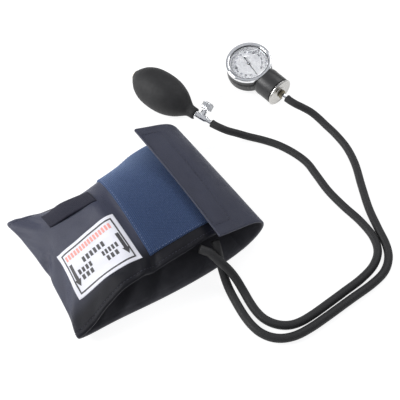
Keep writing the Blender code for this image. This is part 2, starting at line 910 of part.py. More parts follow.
def make_back_hook():
    """Bent steel tongue that slides on the cuff's keeper, held by one screw."""
    back = -PAN_DEPTH - GAP
    outer = back - HOOK_STAND_OFF
    side = [
        (15.0, back),
        (7.0, back),
        (6.0, back - 1.0),
        (5.4, outer + 1.0),
        (4.6, outer + 1.0),
        (-11.0, outer + 1.0),
        (-13.0, outer + 1.6),
        (-13.4, outer + 0.8),
        (-11.0, outer),
        (5.4, outer),
        (6.4, outer + 0.8),
        (7.0, back - 1.0),
        (15.0, back - 1.0),
    ]
    frame = GAUGE_FRAME @ turned(90.0, "Z") @ turned(90.0, "X")
    hook = prism("back_hook", side, -4.5, 4.5, steel(), frame)
    hole = prism(
        "hook_hole_cutter", disc_outline(1.5, 14, (0.0, 11.2)), back - 3.0, back + 1.0, steel(), GAUGE_FRAME
    )
    combine(hook, hole, "DIFFERENCE")
    lathe(
        "hook_screw",
        [(0.0, back - 2.2), (1.6, back - 2.2), (2.3, back - 1.7), (2.3, back - 1.3)]
        + [(1.1, back - 1.3), (1.1, back + 0.1), (0.0, back + 0.1)],
        steel(),
        GAUGE_FRAME @ Matrix.Translation((0.0, 11.2 * MM, 0.0)),
        segments=16,
    )


# ---------------------------------------------------------------- gauge movement

PLATE_OUTLINE = ((-9.5, -19.2), (6.5, -19.2), (9.0, -15.0), (9.0, 6.0), (-9.0, 6.0), (-9.5, -15.0))
DIAL_EARS = ((15.0, 4.2), (15.0, 7.8), (9.0, 8.6), (-9.0, 8.6), (-15.0, 7.8), (-15.0, 4.2), (-9.0, 3.0))
FRONT_PLATE_Z = (-10.4, -9.6)
BACK_PLATE_Z = (-19.4, -18.6)
PILLARS = ((6.6, 3.6), (-6.6, 3.6), (6.4, -13.6))
ARBOR_R = 0.6


def make_movement_frame():
    """Two plates on three shouldered posts; the front plate has ears for the dial's screws."""
    back = list(PLATE_OUTLINE)
    front = back[:3] + [(9.0, 3.0)] + list(DIAL_EARS) + back[-1:]
    plates = (
        ("movement_plate_front", front, FRONT_PLATE_Z),
        ("movement_plate_back", back, BACK_PLATE_Z),
    )
    for name, outline, levels in plates:
        plate = prism(name, outline, *levels, brass(), GAUGE_FRAME)
        for place in ((0.0, 0.0), tuple(SECTOR_PIVOT)):
            hole = prism(
                f"{name}_hole_cutter_{int(place[1])}",
                disc_outline(ARBOR_R + 0.25, 12, place),
                levels[0] - 1.0,
                levels[1] + 1.0,
                brass(),
                GAUGE_FRAME,
            )
            combine(plate, hole, "DIFFERENCE")
        if levels == BACK_PLATE_Z:
            for number, centre in enumerate(PILLARS, start=1):
                hole = prism(
                    f"pillar_hole_cutter_{number}",
                    disc_outline(1.1, 12, centre),
                    levels[0] - 1.0,
                    levels[1] + 1.0,
                    brass(),
                    GAUGE_FRAME,
                )
                combine(plate, hole, "DIFFERENCE")
    for number, centre in enumerate(PILLARS, start=1):
        lathe(
            f"movement_pillar_{number}",
            [
                (0.0, PAN_FLOOR_Z + 0.2),
                (1.5, PAN_FLOOR_Z + 0.2),
                (1.5, BACK_PLATE_Z[0] - 0.2),
                (0.8, BACK_PLATE_Z[0] - 0.2),
                (0.8, BACK_PLATE_Z[1] + 0.2),
                (1.5, BACK_PLATE_Z[1] + 0.2),
                (1.5, FRONT_PLATE_Z[0] - 0.2),
                (0.0, FRONT_PLATE_Z[0] - 0.2),
            ],
            brass(),
            GAUGE_FRAME @ Matrix.Translation((centre[0] * MM, centre[1] * MM, 0.0)),
            segments=10,
        )


def gear_outline(teeth, module, start=0.0, count=None, backlash=0.14):
    """Trapezoid teeth round a pitch circle; with a count, only that many teeth from the start."""
    pitch_r = teeth * module / 2.0
    tip_r = pitch_r + 0.75 * module
    root_r = pitch_r - 1.05 * module
    step = 2.0 * math.pi / teeth
    thin = backlash / pitch_r
    outline = []
    for index in range(count or teeth):
        middle = math.radians(start) + index * step
        half_root = step * 0.34 - thin
        half_tip = step * 0.16 - thin / 2.0
        for radius, angle in (
            (root_r, middle - half_root),
            (tip_r, middle - half_tip),
            (tip_r, middle + half_tip),
            (root_r, middle + half_root),
        ):
            outline.append((radius * math.cos(angle), radius * math.sin(angle)))
    return outline


def make_sector():
    """Toothed sector on its arbor, with the crank below it that the push rod drives."""
    teeth = int(PINION_TEETH * GEAR_RATIO)
    tooth_angle = 360.0 / teeth
    to_pinion = math.degrees(math.atan2(-SECTOR_PIVOT.y, -SECTOR_PIVOT.x))
    count = 11
    first = to_pinion + tooth_angle * 0.5 - tooth_angle * (count - 1)
    rim = gear_outline(teeth, TOOTH_MODULE, first, count)
    frame = GAUGE_FRAME @ Matrix.Translation((SECTOR_PIVOT.x * MM, SECTOR_PIVOT.y * MM, 0.0))
    hub = arc(2.6, to_pinion + 60.0, to_pinion + 260.0, 8)
    sector = prism("sector_gear", rim + hub, SECTOR_Z - 0.5, SECTOR_Z + 0.5, brass(), frame)
    hole = prism(
        "sector_hole_cutter", disc_outline(ARBOR_R + GAP, 12), SECTOR_Z - 2.0, SECTOR_Z + 2.0, brass(), frame
    )
    combine(sector, hole, "DIFFERENCE")
    prism("sector_arbor", disc_outline(ARBOR_R, 12), -20.4, -8.8, steel(), frame)
    crank_frame = frame @ turned(CRANK_REST_ANGLE, "Z")
    crank = prism(
        "sector_crank",
        arc(1.9, 25.0, 335.0, 12) + [(CRANK_REACH + 0.4, -0.5), (CRANK_REACH + 0.4, 0.5)],
        CRANK_Z - 0.5,
        CRANK_Z + 0.5,
        brass(),
        crank_frame,
    )
    pin = prism(
        "crank_pin", disc_outline(0.7, 12, (CRANK_REACH, 0.0)), CRANK_Z - 0.5, CRANK_Z + 1.6, brass(), crank_frame
    )
    combine(crank, pin, "UNION")
    bore = prism(
        "crank_hole_cutter", disc_outline(ARBOR_R + GAP, 12), CRANK_Z - 2.0, CRANK_Z + 2.0, brass(), crank_frame
    )
    combine(crank, bore, "DIFFERENCE")


def make_pinion_and_pointer():
    to_sector = math.degrees(math.atan2(SECTOR_PIVOT.y, SECTOR_PIVOT.x))
    wheel = gear_outline(PINION_TEETH, TOOTH_MODULE, to_sector)
    pinion = prism("pinion", wheel, SECTOR_Z - 1.0, SECTOR_Z + 1.0, steel(), GAUGE_FRAME)
    shaft = prism("pinion_shaft", disc_outline(ARBOR_R, 12), -20.4, -5.9, steel(), GAUGE_FRAME)
    combine(pinion, shaft, "UNION")
    frame = GAUGE_FRAME @ turned(ZERO_ANGLE, "Z")
    needle = [
        (-9.6, -0.65),
        (-9.6, 0.65),
        (-1.5, 0.4),
        (0.0, 1.5),
        (1.5, 0.45),
        (17.6, 0.1),
        (17.6, -0.1),
        (1.5, -0.45),
        (0.0, -1.5),
        (-1.5, -0.4),
    ]
    prism("pointer", needle, POINTER_Z - 0.2, POINTER_Z + 0.2, pointer_paint(), frame)
    lathe(
        "pointer_cap",
        [(0.0, POINTER_Z + 0.5), (1.1, POINTER_Z + 0.5), (1.0, POINTER_Z + 1.1), (0.0, POINTER_Z + 1.3)],
        pointer_paint(),
        GAUGE_FRAME,
        segments=14,
    )


def make_hairspring():
    """Flat spiral of strip that takes up the slack of the gears."""
    turns = 3.5
    steps = 36
    half = 0.12
    inner = []
    outer = []
    for step in range(steps + 1):
        angle = 2.0 * math.pi * turns * step / steps
        radius = 1.5 + 3.6 * step / steps
        inner.append(((radius - half) * math.cos(angle), (radius - half) * math.sin(angle)))
        outer.append(((radius + half) * math.cos(angle), (radius + half) * math.sin(angle)))
    prism("hairspring", outer + inner[::-1], -17.4, -16.9, steel(), GAUGE_FRAME)


def make_capsule():
    """Two corrugated shells soldered at the rim; the far one moves and carries the push rod."""
    base_y = -NECK_END_Y - 2.2
    thick = 0.5

    def shell(sign, start):
        waves = [(1.4, 1.6), (4.0, 2.1), (6.2, 1.5), (8.4, 2.1), (10.4, 1.2), (12.3, 0.3)]
        near = [(r, start + sign * h) for r, h in waves]
        far = [(r, start + sign * (h + thick)) for r, h in reversed(waves)]
        return near, far

    near, far = shell(1.0, base_y - 6.4)
    lathe("capsule_base", near + far, brass(), NECK_FRAME, segments=22)
    near, far = shell(-1.0, base_y - 7.2)
    closed = [(0.0, near[0][1])] + near + far + [(0.0, far[-1][1])]
    lathe("capsule_front", closed, brass(), NECK_FRAME, segments=22)
    tip_y = -(SECTOR_PIVOT.y + CRANK_REACH * math.sin(math.radians(CRANK_REST_ANGLE))) + 0.7 + 0.15
    rod_low = base_y - 7.2 - 1.6 - thick - GAP
    rod_frame = NECK_FRAME
    toe_depth = CRANK_Z - NECK_AXIS_Z
    under_sector = SECTOR_Z - 0.5 - NECK_AXIS_Z - 0.35
    rod = box("push_rod", (-1.0, -1.6, tip_y + 4.2), (1.0, 1.0, rod_low), steel(), rod_frame)
    arm = box("rod_arm", (-1.0, -1.6, tip_y + 0.6), (1.0, under_sector, tip_y + 5.0), steel(), rod_frame)
    toe = box(
        "rod_toe", (-1.4, toe_depth + 0.7, tip_y), (1.4, under_sector, tip_y + 1.2), steel(), rod_frame
    )
    combine(rod, arm, "UNION")
    combine(rod, toe, "UNION")


# ---------------------------------------------------------------- assembly


def main():
    clear_scene()
    make_sleeve()
    make_bladder()
    make_ports()
    make_loop_patch()
    make_label()
    make_gauge_strap()
    make_flap()
    make_hose("hose_to_bulb", BULB_PORT, HOSE_TO_BULB, VALVE_FRAME, VALVE_OUTLET_Z)
    make_hose("hose_to_gauge", GAUGE_PORT, HOSE_TO_GAUGE, NECK_FRAME, NIPPLE_TIP_Z)
    make_bulb()
    make_inlet_valve()
    make_release_valve()
    make_release_screw()
    make_gauge_case()
    make_bezel_and_lens()
    make_dial()
    make_end_cap()
    make_back_hook()
    make_movement_frame()
    make_sector()
    make_pinion_and_pointer()
    make_hairspring()
    make_capsule()


main()
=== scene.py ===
"""Looks of an aneroid blood pressure monitor for the upper arm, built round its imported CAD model.

The turned pieces sit on the axes of the CAD's joints. The cuff's strip and the two hoses repeat
the CAD's own measures and lay finer cloth and rubber on them. Lengths are in millimetres until a
mesh is made, and angles are in degrees, unless a comment says otherwise.
"""
import json
import math

import bmesh
import bpy
import numpy as np
from mathutils import Matrix, Vector


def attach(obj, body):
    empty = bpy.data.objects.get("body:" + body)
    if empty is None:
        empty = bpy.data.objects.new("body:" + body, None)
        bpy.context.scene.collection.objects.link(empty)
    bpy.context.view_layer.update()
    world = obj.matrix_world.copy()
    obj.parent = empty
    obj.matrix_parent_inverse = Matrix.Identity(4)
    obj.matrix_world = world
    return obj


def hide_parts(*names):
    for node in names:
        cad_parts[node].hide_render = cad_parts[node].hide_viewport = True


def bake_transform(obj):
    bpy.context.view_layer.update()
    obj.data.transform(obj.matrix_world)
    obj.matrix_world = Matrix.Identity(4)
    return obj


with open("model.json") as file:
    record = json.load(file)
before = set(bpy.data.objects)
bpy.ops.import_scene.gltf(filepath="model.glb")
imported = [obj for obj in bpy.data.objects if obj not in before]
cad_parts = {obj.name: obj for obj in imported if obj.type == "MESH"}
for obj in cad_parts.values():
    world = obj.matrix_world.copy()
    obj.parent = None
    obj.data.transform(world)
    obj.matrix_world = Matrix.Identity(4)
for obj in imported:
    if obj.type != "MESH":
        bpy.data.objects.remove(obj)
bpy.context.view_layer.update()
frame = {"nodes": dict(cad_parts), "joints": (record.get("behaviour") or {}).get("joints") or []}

MM = 0.001
GAP = 0.3
ROOT = "cuff_bulb_and_gauge"
TABLE_TO_ORIGIN = Vector((4.6, -44.9, 0.0))
NODES = frame["nodes"]
JOINTS = {joint["name"]: joint for joint in frame["joints"]}


# ---------------------------------------------------------------- camera, light and floor

CAMERA_PLACE = (-0.2301, -0.3777, 0.5816)  # metres
CAMERA_TARGET = (0.0046, -0.0449, 0.0)
CAMERA_LENS = 64.8
CAMERA_SENSOR = 36.0
FLOOR_HALF = 4.0  # metres
FLOOR_DROP = 0.0002
PALE_SKY = (0.93, 0.95, 1.0, 1.0)
DARK_BAND = (0.04, 0.04, 0.045, 1.0)


def make_camera():
    data = bpy.data.cameras.new("camera")
    data.lens = CAMERA_LENS
    data.sensor_width = CAMERA_SENSOR
    camera = bpy.data.objects.new("camera", data)
    bpy.context.collection.objects.link(camera)
    camera.location = CAMERA_PLACE
    look = Vector(CAMERA_TARGET) - camera.location
    camera.rotation_mode = "QUATERNION"
    camera.rotation_quaternion = look.to_track_quat("-Z", "Y")
    bpy.context.scene.camera = camera


def soft_light(name, location, size, energy):
    """A square light that faces the object."""
    data = bpy.data.lights.new(name, "AREA")
    data.shape = "SQUARE"
    data.size = size
    data.energy = energy
    light = bpy.data.objects.new(name, data)
    bpy.context.collection.objects.link(light)
    light.location = location
    light.rotation_mode = "QUATERNION"
    light.rotation_quaternion = (-Vector(location)).to_track_quat("-Z", "Y")


def make_sky():
    """A pale sky with a dark band low above the horizon, which the chrome mirrors."""
    scene = bpy.context.scene
    scene.view_settings.view_transform = "Standard"
    world = bpy.data.worlds.new("studio")
    world.use_nodes = True
    nodes, links = world.node_tree.nodes, world.node_tree.links
    background = nodes["Background"]
    height = nodes.new("ShaderNodeSeparateXYZ")
    ramp = nodes.new("ShaderNodeValToRGB")
    links.new(nodes.new("ShaderNodeTexCoord").outputs["Generated"], height.inputs[0])
    links.new(height.outputs[2], ramp.inputs[0])
    links.new(ramp.outputs[0], background.inputs["Color"])
    stops = ramp.color_ramp.elements
    stops[0].position, stops[0].color = 0.13, PALE_SKY
    stops[1].position, stops[1].color = 0.62, PALE_SKY
    for position in (0.2, 0.42):
        stops.new(position).color = DARK_BAND
    background.inputs["Strength"].default_value = 0.55
    scene.world = world


def make_studio():
    make_sky()
    soft_light("key", (-0.85, 0.5, 0.6), 0.5, 11.5)
    soft_light("side", (0.9, 0.1, 0.9), 0.6, 4.5)
    make_floor()


def make_floor():
    size = FLOOR_HALF
    mesh = bpy.data.meshes.new("floor")
    corners = [(-size, -size, 0.0), (size, -size, 0.0), (size, size, 0.0), (-size, size, 0.0)]
    mesh.from_pydata(corners, [], [(0, 1, 2, 3)])
    floor = bpy.data.objects.new("floor", mesh)
    bpy.context.collection.objects.link(floor)
    floor.location.z = -FLOOR_DROP
    white = bpy.data.materials.new("floor_white")
    white.use_nodes = True
    shader = white.node_tree.nodes["Principled BSDF"]
    shader.inputs["Base Color"].default_value = (0.3, 0.3, 0.3, 1.0)
    shader.inputs["Roughness"].default_value = 0.9
    shader.inputs["Specular IOR Level"].default_value = 0.0
    shader.inputs["Emission Color"].default_value = (1.0, 1.0, 1.0, 1.0)
    shader.inputs["Emission Strength"].default_value = 0.86
    mesh.materials.append(white)


# ---------------------------------------------------------------- materials


class Finish:
    """One procedural material round a Principled shader."""

    def __init__(self, name, colour, roughness, **sockets):
        self.made = bpy.data.materials.new(name)
        self.made.use_nodes = True
        self.nodes = self.made.node_tree.nodes
        self.links = self.made.node_tree.links
        self.shader = self.nodes["Principled BSDF"]
        self.shader.inputs["Base Color"].default_value = (*colour, 1.0)
        self.shader.inputs["Roughness"].default_value = roughness
        for socket, value in sockets.items():
            self.shader.inputs[socket.replace("_", " ")].default_value = value
        self.colour = colour
        self.normal = None

    def add(self, kind, settings=None, **inputs):
        node = self.nodes.new(kind)
        for key, value in (settings or {}).items():
            setattr(node, key, value)
        for key, value in inputs.items():
            socket = node.inputs[int(key[1:]) if key[1:].isdigit() else key.replace("_", " ")]
            if isinstance(value, bpy.types.NodeSocket):
                self.links.new(value, socket)
            else:
                socket.default_value = value
        return node

    def place(self, cloth):
        """Position on the cloth in metres from the start of the strip, or in the piece's own frame."""
        if cloth:
            return self.add("ShaderNodeUVMap", {"uv_map": "cloth"}).outputs["UV"]
        return self.add("ShaderNodeTexCoord").outputs["Object"]

    def math(self, operation, a, b=0.0):
        return self.add("ShaderNodeMath", {"operation": operation}, _0=a, _1=b).outputs[0]

    def noise(self, size, cloth=False, detail=3.0, roughness=0.55):
        """Noise whose patches are about that many millimetres across."""
        return self.add(
            "ShaderNodeTexNoise",
            Vector=self.place(cloth),
            Scale=1.0 / (size * MM),
            Detail=detail,
            Roughness=roughness,
        ).outputs[0]

    def ribs(self, axis, pitch, cloth=True):
        """Sine ridges of that pitch in millimetres across one axis."""
        split = self.add("ShaderNodeSeparateXYZ", Vector=self.place(cloth))
        return self.math("SINE", self.math("MULTIPLY", split.outputs[axis], 2.0 * math.pi / (pitch * MM)))

    def weave(self, pitch, cloth=True):
        return self.math("MULTIPLY", self.ribs(0, pitch, cloth), self.ribs(1, pitch, cloth))

    def mottle(self, factor, other, low=0.3, high=0.7):
        """Vary the colour towards another one where the factor is high."""
        spread = self.add("ShaderNodeMapRange", Value=factor, _1=low, _2=high)
        mix = self.add("ShaderNodeMix", {"data_type": "RGBA"}, Factor=spread.outputs[0])
        source = self.shader.inputs["Base Color"]
        if source.is_linked:
            self.links.new(source.links[0].from_socket, mix.inputs[6])
        else:
            mix.inputs[6].default_value = (*self.colour, 1.0)
        mix.inputs[7].default_value = (*other, 1.0)
        self.links.new(mix.outputs[2], source)

    def polish(self, factor, low, high):
        """Vary the roughness between two values."""
        spread = self.add("ShaderNodeMapRange", Value=factor, _1=0.3, _2=0.7, _3=low, _4=high)
        self.links.new(spread.outputs[0], self.shader.inputs["Roughness"])

    def bump(self, height, depth):
        """Raise the surface by up to that many millimetres where the height is 1."""
        node = self.add("ShaderNodeBump", Height=height, Distance=depth * MM, Strength=1.0)
        if self.normal is not None:
            self.links.new(self.normal, node.inputs["Normal"])
        self.normal = node.outputs["Normal"]
        self.links.new(self.normal, self.shader.inputs["Normal"])


FINISH = {}


def add_finish(key, name, colour, roughness, mottle=None, polish=None, bumps=(), **sockets):
    """Make a finish whose patterns are given as their values and then their settings.

    mottle holds the other colour and a noise, polish the lowest and highest roughness and a
    noise, and each of the bumps a depth, a kind of pattern and that pattern's settings.
    """
    made = Finish(name, colour, roughness, **sockets)
    if mottle:
        made.mottle(made.noise(*mottle[1:]), mottle[0])
    if polish:
        made.polish(made.noise(*polish[2:]), *polish[:2])
    for depth, kind, *settings in bumps:
        made.bump(getattr(made, kind)(*settings), depth)
    FINISH[key] = made
    return made


def darken_hem(nylon):
    """Painted shade: in front of the patch, where the cloth rolls down at the front edge, the nylon is
    painted darker and given less specular than the rest.
    """
    split = nylon.add("ShaderNodeSeparateXYZ", Vector=nylon.place(True))
    hem = 1.0
    # places on the cloth in metres: across the strip, then along it at either end
    for axis, clear, full in ((1, 0.034, 0.012), (0, 0.02, 0.045), (0, 0.218, 0.17)):
        fade = nylon.add(
            "ShaderNodeMapRange", {"interpolation_type": "SMOOTHSTEP"},
            Value=split.outputs[axis], _1=clear, _2=full,
        )
        hem = nylon.math("MULTIPLY", hem, fade.outputs[0])
    # painted shade: the front edge's strip turns to this dark colour, and its specular is lowered below
    nylon.mottle(hem, (0.006, 0.006, 0.0095), 0.0, 1.0)
    shaded_specular = nylon.add("ShaderNodeMapRange", Value=hem, _3=0.42, _4=0.2)
    nylon.links.new(shaded_specular.outputs[0], nylon.shader.inputs["Specular IOR Level"])


def make_cloth_finishes():
    nylon = add_finish(
        "nylon", "navy_nylon", (0.028, 0.031, 0.056), 0.47, ((0.034, 0.038, 0.066), 24.0, True),
        (0.4, 0.52, 9.0, True, 4.0), ((0.035, "weave", 0.5), (0.1, "noise", 3.5, True, 4.0)),
        Specular_IOR_Level=0.42, Sheen_Weight=0.12, Sheen_Roughness=0.4,
        Sheen_Tint=(0.6, 0.65, 0.9, 1.0),
    )
    # painted shade on the nylon by the front edge, in front of the patch
    darken_hem(nylon)
    add_finish(
        "lining", "dark_lining", (0.06, 0.06, 0.07), 0.5, ((0.1, 0.1, 0.112), 20.0, True),
        bumps=((0.035, "weave", 0.5), (0.15, "noise", 5.0, True, 4.0)),
        Specular_IOR_Level=0.3, Sheen_Weight=0.05,
    )
    add_finish(
        "webbing", "dark_webbing", (0.027, 0.027, 0.043), 0.75, ((0.042, 0.043, 0.062), 1.2, True),
        bumps=((0.22, "ribs", 0, 1.3), (0.12, "weave", 0.9)), Specular_IOR_Level=0.22,
    )
    pile = add_finish(
        "pile", "blue_loop_pile", (0.011, 0.021, 0.06), 0.8, ((0.026, 0.055, 0.15), 1.1, True, 5.0),
        bumps=((0.2, "ribs", 0, 1.5), (0.5, "noise", 0.7, True, 5.0)),
        Specular_IOR_Level=0.24, Sheen_Weight=0.7, Sheen_Roughness=0.5,
        Sheen_Tint=(0.45, 0.6, 0.92, 1.0),
    )
    pile.mottle(pile.ribs(0, 1.5), (0.038, 0.072, 0.16), -0.1, 1.3)
    add_finish(
        "hooks", "hook_tape", (0.012, 0.02, 0.06), 0.6, ((0.02, 0.035, 0.09), 0.8, True),
        bumps=((0.5, "weave", 1.4),), Specular_IOR_Level=0.3,
    )
    add_finish(
        "satin", "label_satin", (0.8, 0.8, 0.86), 0.55, ((0.84, 0.84, 0.9), 14.0, True),
        # the collars take the port rubber, painted darker for the shade under the strip's edge
        bumps=((0.03, "weave", 0.45),), Specular_IOR_Level=0.35,
    )
    add_finish("ink", "label_ink", (0.035, 0.033, 0.036), 0.6, ((0.07, 0.068, 0.072), 0.8, True))
    add_finish("red", "label_red_ink", (0.8, 0.27, 0.23), 0.6, ((0.85, 0.4, 0.36), 0.8, True))
    add_finish(
        "thread", "navy_thread", (0.017, 0.018, 0.03), 0.6, ((0.026, 0.028, 0.045), 0.7),
        bumps=((0.05, "noise", 0.2),),
    )
    add_finish(
        "pale_thread", "blue_grey_thread", (0.1, 0.14, 0.26), 0.6, ((0.2, 0.25, 0.38), 0.7),
        bumps=((0.05, "noise", 0.2),), Sheen_Weight=0.2,
    )


def make_rubber_finishes():
    hose = add_finish(
        "hose", "hose_rubber", (0.023, 0.023, 0.024), 0.55, ((0.033, 0.033, 0.034), 1.5, True, 4.0),
        (0.48, 0.64, 6.0, True), Specular_IOR_Level=0.26,
    )
    # fine ridges wind round the hose
    turns = hose.add("ShaderNodeSeparateXYZ", Vector=hose.place(True))
    slant = hose.math("ADD", hose.math("MULTIPLY", turns.outputs[0], 0.6), turns.outputs[1])
    ridge_pitch = 1.1 * MM
    hose.bump(hose.math("SINE", hose.math("MULTIPLY", slant, 2.0 * math.pi / ridge_pitch)), 0.03)
    hose.bump(hose.noise(0.8, True, 4.0), 0.07)
    add_finish(
        "bulb", "bulb_rubber", (0.022, 0.022, 0.023), 0.6, ((0.028, 0.028, 0.029), 7.0, False, 5.0),
        (0.55, 0.68, 3.0, False, 5.0), ((0.06, "noise", 0.9, False, 4.0),), Specular_IOR_Level=0.3,
    )
    add_finish(
        "rubber", "black_rubber", (0.02, 0.02, 0.021), 0.6, ((0.03, 0.03, 0.03), 2.0),
        bumps=((0.05, "noise", 0.7),), Specular_IOR_Level=0.3,
    )
    # painted shade: the port collars' rubber is darker than the other rubber, for the shade under the strip's
    # edge
    add_finish(
        "port", "port_rubber_painted_shade", (0.008, 0.008, 0.0085), 0.7, ((0.013, 0.013, 0.013), 2.0),
        bumps=((0.05, "noise", 0.7),), Specular_IOR_Level=0.15,
    )


def make_metal_finishes():
    add_finish(
        "enamel", "black_case_paint", (0.028, 0.028, 0.029), 0.42, ((0.036, 0.036, 0.037), 5.0),
        (0.36, 0.48, 2.0), ((0.05, "noise", 1.1, False, 4.0),),
        Specular_IOR_Level=0.4, Coat_Weight=0.15, Coat_Roughness=0.3,
    )
    # name, colour, roughness, mottling, polish, depth and size of the bumps
    for name, colour, roughness, mottle, polish, depth, size in (
        (
            "chrome", (0.86, 0.87, 0.89), 0.1,
            ((0.92, 0.93, 0.94), 3.0), (0.06, 0.14, 4.0), 0.02, 8.0,
        ),
        (
            "nickel", (0.5, 0.49, 0.47), 0.24,
            ((0.58, 0.57, 0.55), 2.5), (0.2, 0.32, 3.0), 0.02, 1.2,
        ),
        (
            "brass", (0.5, 0.38, 0.19), 0.32,
            ((0.4, 0.29, 0.13), 2.0), (0.25, 0.42, 1.5), 0.02, 0.6,
        ),
        (
            "dull_brass", (0.2, 0.175, 0.12), 0.38,
            ((0.3, 0.26, 0.18), 1.5), None, 0.03, 0.6,
        ),
        (
            "steel", (0.5, 0.5, 0.52), 0.3,
            ((0.4, 0.4, 0.42), 1.5), (0.22, 0.4, 1.0), 0.015, 0.5,
        ),
    ):
        add_finish(name, name, colour, roughness, mottle, polish, ((depth, "noise", size),), Metallic=1.0)


def make_dial_finishes():
    add_finish("dial", "dial_white", (0.97, 0.98, 1.0), 0.5, ((0.98, 0.985, 1.0), 9.0))
    add_finish("dial_ink", "dial_ink", (0.09, 0.1, 0.14), 0.5, ((0.13, 0.14, 0.19), 1.0))
    add_finish("pointer", "pointer_paint", (0.02, 0.02, 0.025), 0.4, ((0.035, 0.035, 0.04), 1.0))
    add_finish(
        "lens", "lens_plastic", (1.0, 1.0, 1.0), 0.02, polish=(0.01, 0.035, 6.0),
        Transmission_Weight=1.0, IOR=1.14, Specular_IOR_Level=0.6,
    )


make_cloth_finishes()
make_rubber_finishes()
make_metal_finishes()
make_dial_finishes()


# ---------------------------------------------------------------- frames


def turned(degrees, axis):
    return Matrix.Rotation(math.radians(degrees), 4, axis)


def placed(position, rotation):
    return Matrix.Translation((Vector(position) + TABLE_TO_ORIGIN) * MM) @ rotation


def axis_frame(origin, z_axis, y_axis=None):
    """A frame at an origin in metres, from its Z axis and, where the roll matters, its Y axis."""
    z = Vector(z_axis).normalized()
    y = Vector(y_axis).normalized() if y_axis is not None else z.orthogonal().normalized()
    x = y.cross(z).normalized()
    y = z.cross(x)
    turn = Matrix((x, y, z)).transposed().to_4x4()
    return Matrix.Translation(origin) @ turn


KNOB_RISE = 12.0  # the knob's joint over the valve's axis
POINTER_DEPTH = 12.6  # the pointer's joint under the gauge's front
NECK_DEPTH = 13.0  # the neck's axis under the gauge's front
BULB_MOUTH = (Vector((51.6, 81.2, 18.7)) + TABLE_TO_ORIGIN) * MM
BULB_FRAME = axis_frame(BULB_MOUTH, JOINTS["inlet_ball_slide"]["axis"])
VALVE_FRAME = axis_frame(BULB_MOUTH, JOINTS["outlet_disc_slide"]["axis"])
KNOB_AXIS = Vector(JOINTS["knob_turn"]["axis"]).normalized()
KNOB_FRAME = axis_frame(Vector(JOINTS["knob_turn"]["pos_m"]) - KNOB_RISE * MM * KNOB_AXIS, KNOB_AXIS)
GAUGE_AXIS = Vector(JOINTS["pointer_turn"]["axis"]).normalized()
GAUGE_FRAME = axis_frame(
    Vector(JOINTS["pointer_turn"]["pos_m"]) + POINTER_DEPTH * MM * GAUGE_AXIS,
    GAUGE_AXIS,
    JOINTS["capsule_stroke"]["axis"],
)
NECK_FRAME = GAUGE_FRAME @ Matrix.Translation((0.0, 0.0, -NECK_DEPTH * MM)) @ turned(90.0, "X")


def table_point(at_frame, height):
    return (at_frame @ Vector((0.0, 0.0, height * MM))) / MM - TABLE_TO_ORIGIN


# ---------------------------------------------------------------- mesh tools


def catmull_rom(knots, per_span):
    """A smooth curve through every knot."""
    knots = [Vector(knot) for knot in knots]
    ends = [2.0 * knots[0] - knots[1]] + knots + [2.0 * knots[-1] - knots[-2]]
    curve = []
    for a, b, c, d in zip(ends, ends[1:], ends[2:], ends[3:]):
        for step in range(per_span):
            t = step / per_span
            curve.append(
                0.5
                * (
                    2.0 * b
                    + (c - a) * t
                    + (2.0 * a - 5.0 * b + 4.0 * c - d) * t * t
                    + (3.0 * b - a - 3.0 * c + d) * t * t * t
                )
            )
    return curve + [knots[-1]]


def smooth_outline(corners, per_span):
    return [(p.x, p.y) for p in catmull_rom([(x, y, 0.0) for x, y in corners], per_span)]


def smooth(made, angle=38.0):
    made.data.shade_smooth()
    made.data.set_sharp_from_angle(angle=math.radians(angle))


def new_piece(name, points, faces, finishes, at_frame=None, face_finish=None, uvs=None, angle=38.0):
    """A mesh from points in millimetres. Each vertex may have a place on the cloth in metres."""
    mesh = bpy.data.meshes.new(name)
    mesh.from_pydata([tuple(float(x) * MM for x in p) for p in points], [], faces)
    for finish in finishes:
        mesh.materials.append(FINISH[finish].made)
    if face_finish is not None:
        mesh.polygons.foreach_set("material_index", face_finish)
    if uvs is not None:
        layer = mesh.uv_layers.new(name="cloth")
        index = np.empty(len(mesh.loops), np.int32)
        mesh.loops.foreach_get("vertex_index", index)
        layer.data.foreach_set("uv", np.asarray(uvs, np.float32)[index].ravel())
    made = bpy.data.objects.new(name, mesh)
    bpy.context.collection.objects.link(made)
    if at_frame is not None:
        mesh.transform(at_frame)
    smooth(made, angle)
    return made


def hold(made, body, *nodes, slot=None):
    """Ride on a CAD body and stand for CAD nodes. The slot is not used."""
    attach(made, body)
    if nodes:
        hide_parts(*nodes)


SLIGHT_BEND = 12.0  # degrees: a corner that bends less than this isn't rounded
MOST_OF_EDGE = 0.42  # of an edge that a rounded corner may take


def rounded(outline, radius=0.3, steps=3):
    """Round the corners of a closed outline, except those on the axis."""
    result = []
    count = len(outline)
    for index, corner in enumerate(outline):
        if corner[0] == 0.0:
            result.append(corner)
            continue
        here = Vector(corner)
        before = Vector(outline[index - 1]) - here
        after = Vector(outline[(index + 1) % count]) - here
        short = before.length < 1e-6 or after.length < 1e-6
        if short or math.pi - before.angle(after) < math.radians(SLIGHT_BEND):
            result.append(corner)
            continue
        start = here + before.normalized() * min(radius, MOST_OF_EDGE * before.length)
        end = here + after.normalized() * min(radius, MOST_OF_EDGE * after.length)
        for step in range(steps + 1):
            t = step / steps
            point = start * (1 - t) ** 2 + here * 2 * t * (1 - t) + end * t * t
            result.append((point.x, point.y))
    return result


